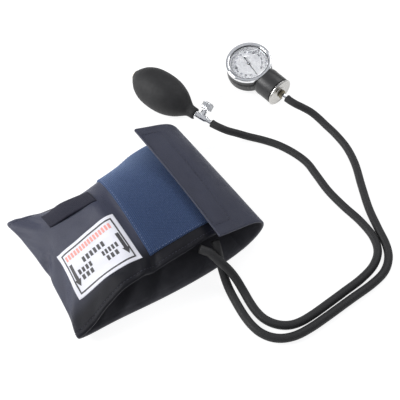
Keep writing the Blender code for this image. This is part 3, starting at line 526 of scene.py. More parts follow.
def turn_body(outline, segments, wave=None):
    """Points and faces of a closed outline turned about Z. A wave scales each point's radius."""
    points = []
    rings = []
    for radius, height in outline:
        if radius == 0.0:
            rings.append([len(points)] * segments)
            points.append((0.0, 0.0, height))
            continue
        ring = []
        for step in range(segments):
            angle = 2.0 * math.pi * step / segments
            reach = radius * (wave(angle, height, radius) if wave else 1.0)
            ring.append(len(points))
            points.append((reach * math.cos(angle), reach * math.sin(angle), height))
        rings.append(ring)
    faces = []
    for here, there in zip(rings, rings[1:] + rings[:1]):
        for step in range(segments):
            after = (step + 1) % segments
            face = list(dict.fromkeys([here[step], here[after], there[after], there[step]]))
            if len(face) > 2:
                faces.append(face)
    return points, faces


def face_outwards(made):
    work = bmesh.new()
    work.from_mesh(made.data)
    bmesh.ops.recalc_face_normals(work, faces=work.faces)
    work.to_mesh(made.data)
    work.free()


def lathe(name, outline, finish, at_frame, segments=72, radius=0.3, wave=None):
    shape = rounded(outline, radius) if radius else outline
    points, faces = turn_body(shape, segments, wave)
    made = new_piece(name, points, faces, [finish], at_frame)
    face_outwards(made)
    return made


def ring_faces(first, rings, count):
    """Sides and both ends of a closed pipe of rings with that many points each."""
    faces = []
    for ring in range(rings - 1):
        low = first + ring * count
        for step in range(count):
            after = (step + 1) % count
            faces.append([low + step, low + after, low + count + after, low + count + step])
    last = first + (rings - 1) * count
    return faces + [list(range(first, first + count))[::-1], list(range(last, last + count))]


def prism(name, outline, low, high, finish, at_frame):
    points = [(x, y, z) for z in (low, high) for x, y in outline]
    made = new_piece(name, points, ring_faces(0, 2, len(outline)), [finish], at_frame)
    face_outwards(made)
    return made


def soften(made, width, segments=3, angle=30.0):
    """Bevel the sharp edges of a piece."""
    bevel = made.modifiers.new("rounded_edges", "BEVEL")
    bevel.width = width * MM
    bevel.segments = segments
    bevel.limit_method = "ANGLE"
    bevel.angle_limit = math.radians(angle)
    apply_modifiers(made)
    smooth(made)


def apply_modifiers(made):
    bpy.context.view_layer.update()
    graph = bpy.context.evaluated_depsgraph_get()
    result = bpy.data.meshes.new_from_object(made.evaluated_get(graph))
    made.modifiers.clear()
    made.data = result
    result.name = made.name


def combine(target, tool, operation):
    change = target.modifiers.new("combine", "BOOLEAN")
    change.operation = operation
    change.solver = "EXACT"
    change.object = tool
    apply_modifiers(target)
    bpy.data.objects.remove(tool)
    smooth(target)


def arc(radius, start, end, count, centre=(0.0, 0.0)):
    angles = [math.radians(start + (end - start) * step / count) for step in range(count + 1)]
    return [(centre[0] + radius * math.cos(a), centre[1] + radius * math.sin(a)) for a in angles]


# ---------------------------------------------------------------- the strip's surface

# Each station is a line across the strip, in order from the start edge to the flap's edge.
# It holds x, then y, then z at four control points from the front edge to the back edge.
CUFF_STATIONS = (
    ((12, 12, 12, 12), (-57, -20, 25, 62), (25, 35, 40, 28)),  # start edge, under the flap
    ((-12, -12, -12, -12), (-58, -20, 34, 66), (32, 40, 46, 27)),
    ((-36, -35, -34, -34), (-60, -20, 42, 68), (39, 45, 55, 23)),
    ((-63, -62, -61, -60), (-62, -20, 50, 63), (41, 50, 64, 16)),  # under the loop patch
    ((-92, -90, -89, -89), (-62, -20, 53, 57), (40, 50, 68, 10)),
    ((-120, -117, -116, -116), (-61, -20, 50, 59), (45, 47, 58, 9)),  # under the label
    ((-145, -139, -138, -140), (-63, -20, 38, 68), (27, 33, 42, 11)),
    ((-162, -152, -151, -158), (-66, -18, 30, 77), (15, 22, 26, 10)),
    ((-175, -167, -163, -172), (-64, -17, 28, 80), (9, 13, 14, 7)),  # left fold
    ((-162, -154, -152, -160), (-63, -18, 28, 79), (2, 2, 2, 2)),
    ((-136, -134, -134, -136), (-64, -19, 27, 75), (2, 2, 2, 2)),
    ((-100, -100, -100, -100), (-69, -20, 26, 70), (2, 2, 2, 2)),  # lies on the table
    ((-65, -65, -65, -65), (-72, -20, 26, 68), (2, 2, 2, 2)),
    ((-30, -30, -30, -30), (-73, -21, 26, 69), (2, 2, 2, 2)),
    ((0, 0, 0, 0), (-71, -21, 27, 71), (2, 2, 2, 2)),
    ((20, 16, 15, 16), (-69, -21, 27, 72), (9, 7, 7, 6)),
    ((27, 23, 21, 23), (-68, -21, 26, 70), (21, 24, 24, 22)),  # right fold
    ((16, 16, 15, 16), (-67, -21, 26, 69), (30, 40, 42, 36)),  # the flap comes over the start edge
    ((3, 5, 5, 6), (-67, -21, 27, 68), (34, 48, 51, 46)),
    ((-12, -11, -11, -11), (-68, -21, 27, 68), (40, 51, 56, 53)),
    ((-27, -27, -28, -29), (-68, -21, 27, 69), (45, 53, 58, 60)),
    ((-42, -43, -45, -47), (-68, -21, 27, 70), (50, 55, 60, 67)),  # steers the flap's edge
)
STATIONS = np.array(CUFF_STATIONS, float)
SLEEVE_HALF = 2.0
FLAP_HALF = 1.2
FOLD_START = 14.0  # the turning piece is sewn to the bottom layer here
FLAP_END = 20.0
STATION_MM = 28.0  # typical length of strip between two stations
ACROSS_MM = 130.0  # typical width of the strip
FLAP_STATION_MM = 0.55 * STATION_MM  # the flap's stations lie closer together


def strip_point(along, across):
    """Middle surface of the strip for arrays of stations and shares across it."""
    last = len(STATIONS) - 1
    along, across = np.broadcast_arrays(np.asarray(along, float), np.asarray(across, float))
    span = np.clip(np.floor(along).astype(int), 0, last - 1)
    t = along - span
    s = 1.0 - t
    weights = (
        s**3 / 6.0,
        (3.0 * t**3 - 6.0 * t**2 + 4.0) / 6.0,
        (-3.0 * t**3 + 3.0 * t**2 + 3.0 * t + 1.0) / 6.0,
        t**3 / 6.0,
    )
    c = across
    rows = ((1 - c) ** 3, 3 * c * (1 - c) ** 2, 3 * c * c * (1 - c), c**3)
    point = np.zeros(along.shape + (3,))
    for offset, weight in enumerate(weights):
        station = STATIONS[np.clip(span - 1 + offset, 0, last)]
        for row in range(4):
            point += (weight * rows[row])[..., None] * station[..., row]
    return point


def strip_normal(along, across):
    """Unit vectors out of the loop."""
    step = 0.01
    forward = strip_point(along + step, across) - strip_point(along - step, across)
    sideways = strip_point(along, across + step) - strip_point(along, across - step)
    normal = np.cross(sideways, forward)
    return normal / np.linalg.norm(normal, axis=-1, keepdims=True)


def ease(share):
    """A share from 0 to 1 that starts and ends gently."""
    return share * share * (3.0 - 2.0 * share)


def crease(along, across, start, end, width, height):
    """A soft fold from one (station, share) to another, fading at both ends."""
    scale = np.array((STATION_MM, ACROSS_MM))
    a, b = np.array(start) * scale, np.array(end) * scale
    place = np.stack(np.broadcast_arrays(along * STATION_MM, across * ACROSS_MM), axis=-1)
    run = b - a
    share = ((place - a) @ run) / (run @ run)
    on_run = np.clip(share, 0.0, 1.0)
    away = np.linalg.norm(place - (a + on_run[..., None] * run), axis=-1)
    fade = ease(np.clip(np.minimum(share + 0.25, 1.25 - share) / 0.5, 0.0, 1.0))
    return height * np.exp(-((away / width) ** 2)) * fade


# start, end, width in millimetres and height in millimetres
TOP_CREASES = (
    ((5.3, 0.2), (5.35, 0.68), 27.0, -4.0),  # the strip is nearly flat under the label
    ((5.1, 0.12), (4.9, 0.2), 15.0, -1.5),
    ((4.5, 0.1), (4.4, 0.6), 8.0, 1.2),
    ((3.88, 0.06), (3.92, 0.75), 6.5, -2.4),  # and dips between the label and the patch
    ((8.1, 0.0), (6.2, 0.34), 6.0, 1.3),
    ((8.0, 0.14), (6.6, 0.5), 7.0, -1.6),
    ((8.5, 0.44), (7.2, 0.56), 6.0, -2.6),
    ((7.2, 0.56), (6.5, 0.66), 8.0, -1.0),
    ((8.1, 1.0), (6.5, 0.72), 7.0, 1.5),
    ((7.9, 0.86), (6.8, 0.6), 6.0, -1.5),
    ((7.0, 1.0), (6.3, 0.8), 5.0, -1.2),
    ((6.7, 0.0), (5.9, 0.12), 6.0, -0.9),
    ((4.5, -0.03), (4.0, 0.12), 4.0, 2.2),
    ((4.15, -0.03), (3.7, 0.1), 3.6, -2.4),
    ((3.6, -0.02), (3.0, 0.085), 3.5, 0.8),
    ((2.9, -0.01), (2.5, 0.07), 3.0, -1.0),
    ((2.2, -0.01), (1.9, 0.07), 2.8, 0.7),
    ((5.6, 0.0), (5.3, 0.1), 5.0, -0.6),
)
BOTTOM_CREASES = (
    ((9.6, 0.04), (11.0, 0.42), 5.0, 2.6),
    ((10.2, 0.02), (11.3, 0.22), 3.5, 1.8),
    ((11.1, 0.0), (12.2, 0.3), 4.0, 2.2),
    ((11.9, 0.02), (12.3, 0.46), 5.0, 2.0),
    ((12.5, 0.0), (13.3, 0.25), 4.0, 1.8),
    ((13.2, 0.03), (13.8, 0.4), 4.5, 1.6),
    ((10.9, 0.55), (12.6, 0.7), 6.0, 1.6),
)


def laid_creases(along, across, creases):
    rise = np.zeros(np.broadcast(along, across).shape)
    for start, end, width, height in creases:
        rise = rise + crease(along, across, start, end, width, height)
    return rise


def relief(along, across):
    """How far the strip's cloth stands off its middle surface, on the top and at the left fold."""
    ripple = 0.22 * np.sin(2.3 * along + 5.0 * np.sin(4.0 * across) + 1.1)
    ripple = ripple + 0.16 * np.sin(5.9 * along - 9.0 * across) * np.cos(7.0 * across + 1.7 * along)
    on_top = np.clip((8.8 - along) / 1.2, 0.0, 1.0) * np.clip(along / 0.8, 0.0, 1.0)
    return (laid_creases(along, across, TOP_CREASES) + ripple) * on_top


def floor_relief(along, across):
    """Creases of the bottom layer's inner face."""
    return np.maximum(laid_creases(along, across, BOTTOM_CREASES), 0.0)


def flap_swell(along, across):
    """The flap's own slow waves."""
    return 0.35 * np.sin(3.1 * along + 2.0 * np.sin(3.0 * across)) * np.sin(math.pi * across)


def spread(start, end, step, seams=(), near=(0.0,), ends=()):
    """Values from start to end, with extra ones at the ends and on either side of each seam."""
    values = {start, end}
    count = max(2, int(round((end - start) / step)))
    extra = [start + e for e in ends] + [end - e for e in ends]
    for seam in seams:
        extra += [seam + n for n in near] + [seam - n for n in near]
    extra = [value for value in extra if start < value < end]
    values.update(extra)
    for index in range(1, count):
        value = start + (end - start) * index / count
        if all(abs(value - other) > 0.3 * step for other in extra):
            values.add(value)
    return np.array(sorted(values))


def edge_share(distance, radius):
    """Height of a round edge, as a share, at a distance in from it."""
    inner = 1.0 - np.clip(distance / radius, 0.0, 1.0)
    return np.sqrt(np.maximum(1.0 - inner * inner, 0.0))


def rim_distance(a, c, along, across, station_mm=STATION_MM):
    """Millimetres in from the nearest edge of a piece that spans stations and shares across."""
    in_a = np.minimum(a - along[0], along[1] - a) * station_mm
    in_c = np.minimum(c - across[0], across[1] - c) * ACROSS_MM
    return np.minimum(in_a, in_c)


def piece_grid(along, across, step, ends):
    """Stations and shares of a piece, with extra ones at distances in from its edges."""
    stations = spread(*along, step / STATION_MM, ends=[e / STATION_MM for e in ends])
    shares = spread(*across, step / ACROSS_MM, ends=[e / ACROSS_MM for e in ends])
    return np.meshgrid(stations, shares, indexing="ij")


def shell(along, across, low, high):
    """Points, faces, cloth places and face sides of a closed slab of the strip.

    All four are grids: stations, shares across, and heights of the two sides over the middle
    surface. Where the sides meet at the rim they share their points.
    """
    base = strip_point(along, across)
    normal = strip_normal(along, across)
    top = base + normal * high[..., None]
    under = base + normal * low[..., None]
    rows, columns = along.shape
    size = rows * columns
    points = np.concatenate([top.reshape(-1, 3), under.reshape(-1, 3)])
    middle = columns // 2
    run = np.linalg.norm(np.diff(base[:, middle], axis=0), axis=1)
    length = np.concatenate([[0.0], np.cumsum(run)]) + along[0, 0] * STATION_MM
    wide = np.linalg.norm(np.diff(base, axis=1), axis=2)
    width = np.concatenate([np.zeros((rows, 1)), np.cumsum(wide, axis=1)], axis=1)
    width += across[:, :1] * ACROSS_MM
    place = np.stack([np.broadcast_to(length[:, None], width.shape), width], axis=-1) * MM
    uvs = np.concatenate([place.reshape(-1, 2)] * 2)
    index = np.arange(size).reshape(rows, columns)
    a, b = index[:-1, :-1].ravel(), index[:-1, 1:].ravel()
    c, d = index[1:, 1:].ravel(), index[1:, :-1].ravel()
    faces = [list(f) for f in np.stack([a, b, c, d], axis=1)]
    sides = [0] * len(faces)
    faces += [list(f) for f in np.stack([a, d, c, b], axis=1) + size]
    sides += [1] * len(a)
    rim = list(index[:, 0]) + list(index[-1, 1:]) + list(index[-2::-1, -1]) + list(index[0, -2:0:-1])
    for here, there in zip(rim, rim[1:] + rim[:1]):
        faces.append([here, there, there + size, here + size])
        sides.append(0)
    return points, faces, uvs, sides


def weld(points, faces, uvs, sides):
    """Join points that share a place, and drop the faces that vanish."""
    keys = np.round(points * 2000.0).astype(np.int64)
    _, first, inverse = np.unique(keys, axis=0, return_index=True, return_inverse=True)
    inverse = inverse.ravel()
    kept, kept_sides = [], []
    for face, side in zip(faces, sides):
        short = list(dict.fromkeys(int(inverse[v]) for v in face))
        if len(short) > 2:
            kept.append(short)
            kept_sides.append(side)
    return points[first], kept, uvs[first], kept_sides


def strip_piece(name, along, across, low, high, finishes, angle=50.0):
    """A closed slab of the strip, with one finish outside and, if given, another inside."""
    points, faces, uvs, sides = weld(*shell(along, across, low, high))
    points = points + np.array(TABLE_TO_ORIGIN)
    made = new_piece(
        name, points, faces, finishes, None, [s if len(finishes) > 1 else 0 for s in sides], uvs, angle
    )
    face_outwards(made)
    return made


def patch_piece(
    name, along, across, low, high, finish, skew=0.0, bow=0.0, step=1.6, fuzz=0.0, taper=0.0
):
    """A flat piece that lies on the strip: its edges are round, and it may bow, taper or lie askew."""
    edge = 0.5 * (high - low)
    a, c = piece_grid(along, across, step, (edge * 0.3, edge, edge * 2))
    round_edge = edge_share(rim_distance(a, c, along, across), edge * 1.5)
    share = (a - along[0]) / (along[1] - along[0])
    c = c + skew * (a - along[0])
    a = a + taper * share * c
    lift = bow * np.sin(math.pi * share) ** 2 * (0.3 + 0.7 * (c - c.min()) / np.ptp(c))
    lift = lift + relief(a, c)
    grain = fuzz * np.sin(61.0 * a + 3.0 * np.sin(190.0 * c)) * np.cos(230.0 * c + 17.0 * a)
    bottom = lift + low
    top = bottom + (high - low) * (0.25 + 0.75 * round_edge) + grain * round_edge
    return strip_piece(name, a, c, bottom, top, [finish])


def stitches(name, path, finish, length=2.3, gap=1.1, thick=0.34):
    """Short rounded stitches that follow runs of (point, normal) pairs."""
    points, faces = [], []
    ring = 5
    for run in path:
        places = np.array([p for p, _ in run])
        normals = np.array([n for _, n in run])
        along = np.concatenate([[0.0], np.cumsum(np.linalg.norm(np.diff(places, axis=0), axis=1))])
        count = max(1, int(along[-1] / (length + gap)))
        pitch = along[-1] / count
        for index in range(count):
            start = index * pitch + 0.5 * gap
            spots = np.linspace(start, start + pitch - gap, 4)
            line = np.stack([np.interp(spots, along, places[:, k]) for k in range(3)], axis=1)
            up = np.stack([np.interp(spots, along, normals[:, k]) for k in range(3)], axis=1)
            heading = line[-1] - line[0]
            heading = heading / (np.linalg.norm(heading) + 1e-9)
            first = len(points)
            for spot, lift, size in zip(range(4), (-0.15, 0.12, 0.12, -0.15), (0.45, 1.0, 1.0, 0.45)):
                out = up[spot] / np.linalg.norm(up[spot])
                side = np.cross(heading, out)
                for corner in range(ring):
                    angle = 2.0 * math.pi * corner / ring
                    points.append(
                        line[spot]
                        + out * (lift + math.cos(angle) * thick * size)
                        + side * math.sin(angle) * thick * size
                    )
            faces += ring_faces(first, 4, ring)
    points = np.array(points) + np.array(TABLE_TO_ORIGIN)
    made = new_piece(name, points, faces, [finish], angle=80.0)
    face_outwards(made)
    return made


def seam_run(corners, height, skew=0.0, origin=0.0, step=1.0, with_relief=True):
    """Points on the strip along straight lines between (station, share) corners."""
    run = []
    for start, end in zip(corners, corners[1:]):
        span = math.hypot((end[0] - start[0]) * STATION_MM, (end[1] - start[1]) * ACROSS_MM)
        count = max(1, int(span / step))
        for index in range(count + 1):
            t = index / count
            a = np.array(start[0] + (end[0] - start[0]) * t)
            c = np.array(start[1] + (end[1] - start[1]) * t + skew * (a - origin))
            normal = strip_normal(a, c)
            rise = height + (float(relief(a, c)) if with_relief else 0.0)
            run.append((strip_point(a, c) + normal * rise, normal))
    return run


# ---------------------------------------------------------------- cuff cloth

PATCH_ALONG = (1.2, 3.86)
PATCH_ACROSS = (0.10, 0.992)
PATCH_TAPER = -0.2  # the patch's left edge lies that many stations further right at its back end
LABEL_ALONG = (4.1, 6.75)
LABEL_ACROSS = (0.108, 0.446)
LABEL_SKEW = 0.026
KEEPER_ALONG = (4.24, 6.14)
KEEPER_ACROSS = (0.6, 0.755)
KEEPER_SKEW = 0.06
KEEPER_BOW = 3.6
HOOK_ALONG = (18.7, 19.85)
HOOK_ACROSS = (0.08, 0.92)
BLADDER_ALONG = (0.72, 5.18)
BLADDER_ACROSS = (0.075, 0.855)
BLADDER_HALF = 0.95
HEM = 4.5  # distance of the hem's seam from the edge
CORNER_R = 2.5  # of the flap's back corner


def groove(distance, depth=0.3, width=0.8):
    return -depth * np.exp(-((distance / width) ** 2))


def cloth_grid(start, end, step_along, step_across, seams_along=(), seams_across=()):
    ends = (0.25, 0.8, 1.5, 2.2)
    near = (0.0, 0.6, 1.2)
    stations = spread(
        start, end, step_along / STATION_MM, seams_along,
        [n / STATION_MM for n in near], [e / STATION_MM for e in ends],
    )
    shares = spread(
        0.0, 1.0, step_across / ACROSS_MM,
        [HEM / ACROSS_MM, 1.0 - HEM / ACROSS_MM, *seams_across],
        [n / ACROSS_MM for n in near], [e / ACROSS_MM for e in ends],
    )
    return np.meshgrid(stations, shares, indexing="ij")


def make_sleeve():
    """The loop from the start edge over the left fold to the right end of the bottom layer."""
    a, c = cloth_grid(0.0, FOLD_START, 2.4, 2.2)
    to_side = np.minimum(c, 1.0 - c) * ACROSS_MM
    to_start = a * STATION_MM
    plump = edge_share(np.minimum(to_side, to_start), 2.0)
    hem = 1.0 - 0.18 * np.exp(-((to_side / 3.0) ** 2))
    seam = groove(to_side - HEM) + groove(to_start - HEM)
    on_floor = np.clip((a - 8.6) / 1.0, 0.0, 1.0)
    shift = relief(a, c)
    half = SLEEVE_HALF * plump * hem
    high = shift + half + seam * (1.0 - on_floor)
    low = shift - half - floor_relief(a, c) * plump - seam * 0.7 * plump
    made = strip_piece("cuff_sleeve_cloth", a, c, low, high, ["nylon", "lining"])
    hold(made, ROOT, "cuff_sleeve", slot="nylon")
    edge = HEM / ACROSS_MM
    runs = [
        seam_run([(HEM / STATION_MM, share), (8.4, share)], SLEEVE_HALF - 0.3) for share in (edge, 1.0 - edge)
    ]
    hold(stitches("cuff_hem_stitching", runs, "thread"), ROOT, slot="nylon")


def make_flap():
    """The end of the strip that turns up at the right fold and closes over the patch."""
    a, c = cloth_grid(
        FOLD_START + 0.002, FLAP_END, 2.0, 2.0, (FLAP_END - 0.16, *HOOK_ALONG), HOOK_ACROSS
    )
    to_side = np.minimum(c, 1.0 - c) * ACROSS_MM
    to_end = (FLAP_END - a) * FLAP_STATION_MM
    # the back corner of the flap's edge is a little rounded
    off_back = (1.0 - c) * ACROSS_MM
    in_corner = (off_back < CORNER_R) & (to_end < CORNER_R)
    from_centre = np.hypot(CORNER_R - off_back, CORNER_R - to_end)
    reach = CORNER_R - from_centre
    rim = np.minimum(to_side, to_end)
    rim = np.where(in_corner, np.clip(reach, 0.0, None), rim)
    plump = edge_share(rim, 1.3)
    turn = ease(np.clip((a - 15.2) / 1.2, 0.0, 1.0))
    half = SLEEVE_HALF + (FLAP_HALF - SLEEVE_HALF) * turn
    beside = np.maximum(np.maximum(HOOK_ALONG[0] - a, a - HOOK_ALONG[1]) * FLAP_STATION_MM, 0.0)
    aside = np.maximum(np.maximum(HOOK_ACROSS[0] - c, c - HOOK_ACROSS[1]) * ACROSS_MM, 0.0)
    outside = np.hypot(beside, aside)
    inside = rim_distance(a, c, HOOK_ALONG, HOOK_ACROSS, FLAP_STATION_MM)
    seam = groove(np.where(outside > 0.0, outside, inside), 0.18, 0.9) * turn
    swell = flap_swell(a, c) * turn
    on_table = np.clip((15.0 - a) / 0.5, 0.0, 1.0)
    high = half * plump + seam + swell
    low = -half * plump + swell - floor_relief(a, c) * plump * on_table
    # close the cut corner of the grid onto the rounded rim
    squeeze = in_corner & (reach < 0.0)
    over = np.where(squeeze, -reach, 0.0)
    away = from_centre + 1e-9
    a = a - over * (CORNER_R - to_end) / away / FLAP_STATION_MM
    c = c - over * (CORNER_R - off_back) / away / ACROSS_MM
    made = strip_piece("cuff_flap_cloth", a, c, low, high, ["nylon", "lining"])
    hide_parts("cuff_flap")
    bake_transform(made)
    left, right = HOOK_ALONG
    front, back = HOOK_ACROSS
    run = seam_run(
        [(left, front), (right, front), (right, back), (left, back), (left, front)],
        FLAP_HALF - 0.2,
        with_relief=False,
    )
    corner_mark = seam_run([(left + 0.12, front + 0.05), (left, front)], FLAP_HALF - 0.2, with_relief=False)
    hold(stitches("flap_stitching", [run, corner_mark], "thread"), "flap", slot="nylon")

    tape = patch_like(
        "hook_patch_tape", HOOK_ALONG, HOOK_ACROSS, -FLAP_HALF - 1.5, -FLAP_HALF + 0.05, "hooks"
    )
    hold(tape, "flap", "hook_patch", slot="hook_tape")
    declare_sheet((FOLD_START, FLAP_END), (0.0, 1.0))
    declare_sheet(HOOK_ALONG, HOOK_ACROSS)


def declare_sheet(along, across):
    """Measure the flat size of a piece of cloth along the strip; nothing is done with the sizes."""

    def run(a0, a1, c0, c1):
        points = strip_point(np.linspace(a0, a1, 200), np.linspace(c0, c1, 200))
        return float(np.linalg.norm(np.diff(points, axis=0), axis=1).sum()) * MM

    middle_a, middle_c = sum(along) / 2.0, sum(across) / 2.0
    width, length = run(middle_a, middle_a, *across), run(*along, middle_c, middle_c)


def patch_like(name, along, across, low, high, finish):
    """A flat piece under the flap, with round edges on its lower face."""
    a, c = piece_grid(along, across, 1.6, (0.2, 0.6, 1.2))
    round_edge = edge_share(rim_distance(a, c, along, across, FLAP_STATION_MM), 0.84)
    top = flap_swell(a, c) + high
    bottom = top - (high - low) * (0.25 + 0.75 * round_edge)
    return strip_piece(name, a, c, bottom, top, [finish])


def make_bladder():
    a, c = np.meshgrid(
        spread(*BLADDER_ALONG, 5.0 / STATION_MM, ends=[0.02, 0.06]),
        spread(*BLADDER_ACROSS, 5.0 / ACROSS_MM, ends=[0.004, 0.015]),
        indexing="ij",
    )
    half = BLADDER_HALF * edge_share(rim_distance(a, c, BLADDER_ALONG, BLADDER_ACROSS), 9.0)
    shift = relief(a, c)
    made = strip_piece("air_bladder_skin", a, c, shift - half, shift + half, ["rubber"])
    hold(made, ROOT, "air_bladder", slot="bulb_rubber")


def make_loop_patch():
    made = patch_piece(
        "loop_patch_pile", PATCH_ALONG, PATCH_ACROSS, 1.85, 3.45, "pile", step=1.1, fuzz=0.1,
        taper=PATCH_TAPER,
    )
    hold(made, ROOT, "loop_patch", slot="loop_pile")
    declare_sheet(PATCH_ALONG, PATCH_ACROSS)
    inset_a, inset_c = 1.5 / STATION_MM, 1.5 / ACROSS_MM
    a0, a1 = PATCH_ALONG[0] + inset_a, PATCH_ALONG[1] - inset_a
    c0, c1 = PATCH_ACROSS[0] + inset_c, PATCH_ACROSS[1] - inset_c
    a1_front, a1_back = a1 + PATCH_TAPER * c0, a1 + PATCH_TAPER * c1
    run = seam_run([(a0, c0), (a1_front, c0), (a1_back, c1), (a0, c1), (a0, c0)], 3.3)
    hold(stitches("patch_stitching", [run], "pale_thread", 1.9, 1.3, 0.28), ROOT, slot="loop_pile")


def make_keeper():
    """The webbing keeper that the gauge's hook slides on, flat at its ends and bowed between."""
    made = patch_piece(
        "gauge_keeper_webbing", KEEPER_ALONG, KEEPER_ACROSS, 1.9, 3.4, "webbing",
        skew=KEEPER_SKEW, bow=KEEPER_BOW, step=1.2, fuzz=0.1,
    )
    hold(made, ROOT, "gauge_strap", slot="nylon")
    declare_sheet(KEEPER_ALONG, KEEPER_ACROSS)
    runs = []
    length = (KEEPER_ALONG[1] - KEEPER_ALONG[0]) * STATION_MM
    for end, inward in ((KEEPER_ALONG[0], 1.0), (KEEPER_ALONG[1], -1.0)):
        for offset in (2.0, 5.5):
            a = end + inward * offset / STATION_MM
            lift = 0.65 * KEEPER_BOW * math.sin(math.pi * offset / length) ** 2
            runs.append(
                seam_run(
                    [(a, KEEPER_ACROSS[0] + 0.012), (a, KEEPER_ACROSS[1] - 0.012)],
                    3.35 + lift, KEEPER_SKEW, KEEPER_ALONG[0],
                )
            )
    hold(stitches("keeper_stitching", runs, "thread", 1.6, 0.6, 0.3), ROOT, slot="nylon")


# ---------------------------------------------------------------- label

LABEL_TOP = 2.55
# Blocks that stand for words: first and last share of the label's length, share of its width,
# height, number of blocks and colour.
WORD_ROWS = (
    (0.10, 0.90, 0.80, 0.105, 16, "red"),
    (0.305, 0.705, 0.585, 0.105, 6, "ink"),
    (0.585, 0.845, 0.425, 0.095, 5, "ink"),
    (0.615, 0.81, 0.295, 0.095, 3, "ink"),
    (0.175, 0.415, 0.43, 0.095, 4, "ink"),
    (0.19, 0.40, 0.305, 0.095, 3, "ink"),
)
BLOCK_SHARE = 0.62  # width of a block over the distance between blocks
# The frame line: first and last share of the label's length, then of its width
LABEL_FRAME = (0.058, 0.942, 0.065, 0.93)
FRAME_LINE = 0.019
# Arrows: share of the label's length, then of its width at the tail and at the tip
ARROWS = ((0.89, 0.61, 0.17), (0.117, 0.66, 0.20))


def label_run():
    """Shares of the label's length and the stations they fall on, from its left end."""
    stations = np.linspace(LABEL_ALONG[1], LABEL_ALONG[0], 60)
    line = strip_point(stations, 0.5 * (LABEL_ACROSS[0] + LABEL_ACROSS[1]))
    run = np.concatenate([[0.0], np.cumsum(np.linalg.norm(np.diff(line, axis=0), axis=1))])
    return run / run[-1], stations


LABEL_RUN = label_run()


def label_place(s, t):
    """Station and share across for a place on the label: s runs right, t runs back."""
    a = np.interp(s, *LABEL_RUN)
    c = LABEL_ACROSS[0] + (LABEL_ACROSS[1] - LABEL_ACROSS[0]) * t
    return a, c + LABEL_SKEW * (a - LABEL_ALONG[0])


def label_mark(s_edges, t_values):
    """A thin raised mark: for each t there is a first and a last s."""
    t = np.asarray(t_values)[:, None]
    low, high = np.asarray(s_edges)[:, :1], np.asarray(s_edges)[:, 1:]
    count = max(2, int(np.ceil((high - low).max() * 24)))
    s = low + (high - low) * np.linspace(0.0, 1.0, count)[None, :]
    t = np.broadcast_to(t, s.shape)
    a, c = label_place(s, t)
    shift = relief(a, c)
    return shell(a, c, shift + LABEL_TOP - 0.1, shift + LABEL_TOP + 0.2)


def bar(s0, s1, t0, t1):
    t = np.linspace(t0, t1, max(2, int(abs(t1 - t0) * 16) + 2))
    return label_mark([(s0, s1)] * len(t), t)


def make_label():
    made = patch_piece(
        "instruction_label_cloth", LABEL_ALONG, LABEL_ACROSS, 1.9, LABEL_TOP, "satin", skew=LABEL_SKEW
    )
    hold(made, ROOT, "instruction_label", slot="label")
    declare_sheet(LABEL_ALONG, LABEL_ACROSS)
    marks = []
    left, right, front, back = LABEL_FRAME
    low, high = front + 1.5 * FRAME_LINE, back - 1.5 * FRAME_LINE
    for outline in (
        (left, right, front, low),
        (left, right, high, back),
        (left, left + FRAME_LINE, low, high),
        (right - FRAME_LINE, right, low, high),
    ):
        marks.append((bar(*outline), 0))
    for s, tail, tip in ARROWS:
        neck = tip + 0.13
        marks.append((bar(s - 0.023, s + 0.023, neck, tail), 0))
        t = np.linspace(tip, neck, 6)
        wide = 0.046 * (t - tip) / (neck - tip) + 0.0015
        marks.append((label_mark([(s - w, s + w) for w in wide], t), 0))
    for first, last, middle, tall, count, colour in WORD_ROWS:
        pitch = (last - first) / count
        for index in range(count):
            s0 = first + index * pitch
            finish = 1 if colour == "red" else 0
            low, high = middle - tall / 2.0, middle + tall / 2.0
            marks.append((bar(s0, s0 + BLOCK_SHARE * pitch, low, high), finish))
    points, faces, uvs, finishes = [], [], [], []
    for (p, f, u, _), finish in marks:
        start = sum(len(x) for x in points)
        points.append(p)
        uvs.append(u)
        faces += [[v + start for v in face] for face in f]
        finishes += [finish] * len(f)
    points = np.concatenate(points) + np.array(TABLE_TO_ORIGIN)
    marked = new_piece(
        "instruction_label_print", points, faces, ["ink", "red"], None, finishes, np.concatenate(uvs)
    )
    face_outwards(marked)
    hold(marked, ROOT, slot="label")
    s0, t0 = 0.018, 0.028
    corners = ((s0, t0), (1 - s0, t0), (1 - s0, 1 - t0), (s0, 1 - t0), (s0, t0))
    run = seam_run([label_place(s, t) for s, t in corners], LABEL_TOP - 0.1)
    hold(stitches("label_stitching", [run], "satin", 1.8, 1.2, 0.2), ROOT, slot="label")


# ---------------------------------------------------------------- hoses

HOSE_D = 7.9
PORT_REACH = 7.0
VALVE_OUTLET_Z = 19.7
NIPPLE_TIP_Z = 56.4
# Each port: station along the strip, heading to the right of straight out, drop below level
BULB_PORT = (2.42, 38.0, 10.0)
GAUGE_PORT = (1.62, -15.0, 30.0)
# Centre lines in table millimetres, after the hose leaves its port.
HOSE_TO_BULB = (
    (-34.5, -82.5, 27.0), (-30.8, -89.5, 20.0), (-28.6, -97.5, 12.8), (-28.4, -108.0, 6.9),
    (-29.6, -119.0, 4.6), (-30.2, -130.0, 4.1), (-28.6, -139.9, 4.0), (-23.4, -149.1, 4.0),
    (-15.3, -155.9, 4.0), (-5.2, -159.3, 4.0), (8.0, -160.3, 4.0), (25.0, -160.0, 4.0),
    (46.0, -159.3, 4.0), (67.0, -158.4, 4.0), (86.0, -154.6, 4.0), (100.2, -145.6, 4.0),
    (107.8, -131.0, 4.0), (109.8, -111.0, 4.0), (108.3, -88.0, 4.0), (108.4, -66.0, 4.0),
    (111.6, -44.0, 4.0), (113.8, -27.0, 4.0), (111.0, -9.5, 4.0), (104.5, 8.0, 4.0),
    (95.6, 22.5, 4.0), (85.8, 33.2, 5.6), (76.8, 40.8, 9.4), (68.3, 46.9, 13.6),
    (63.2, 52.6, 16.1),
)
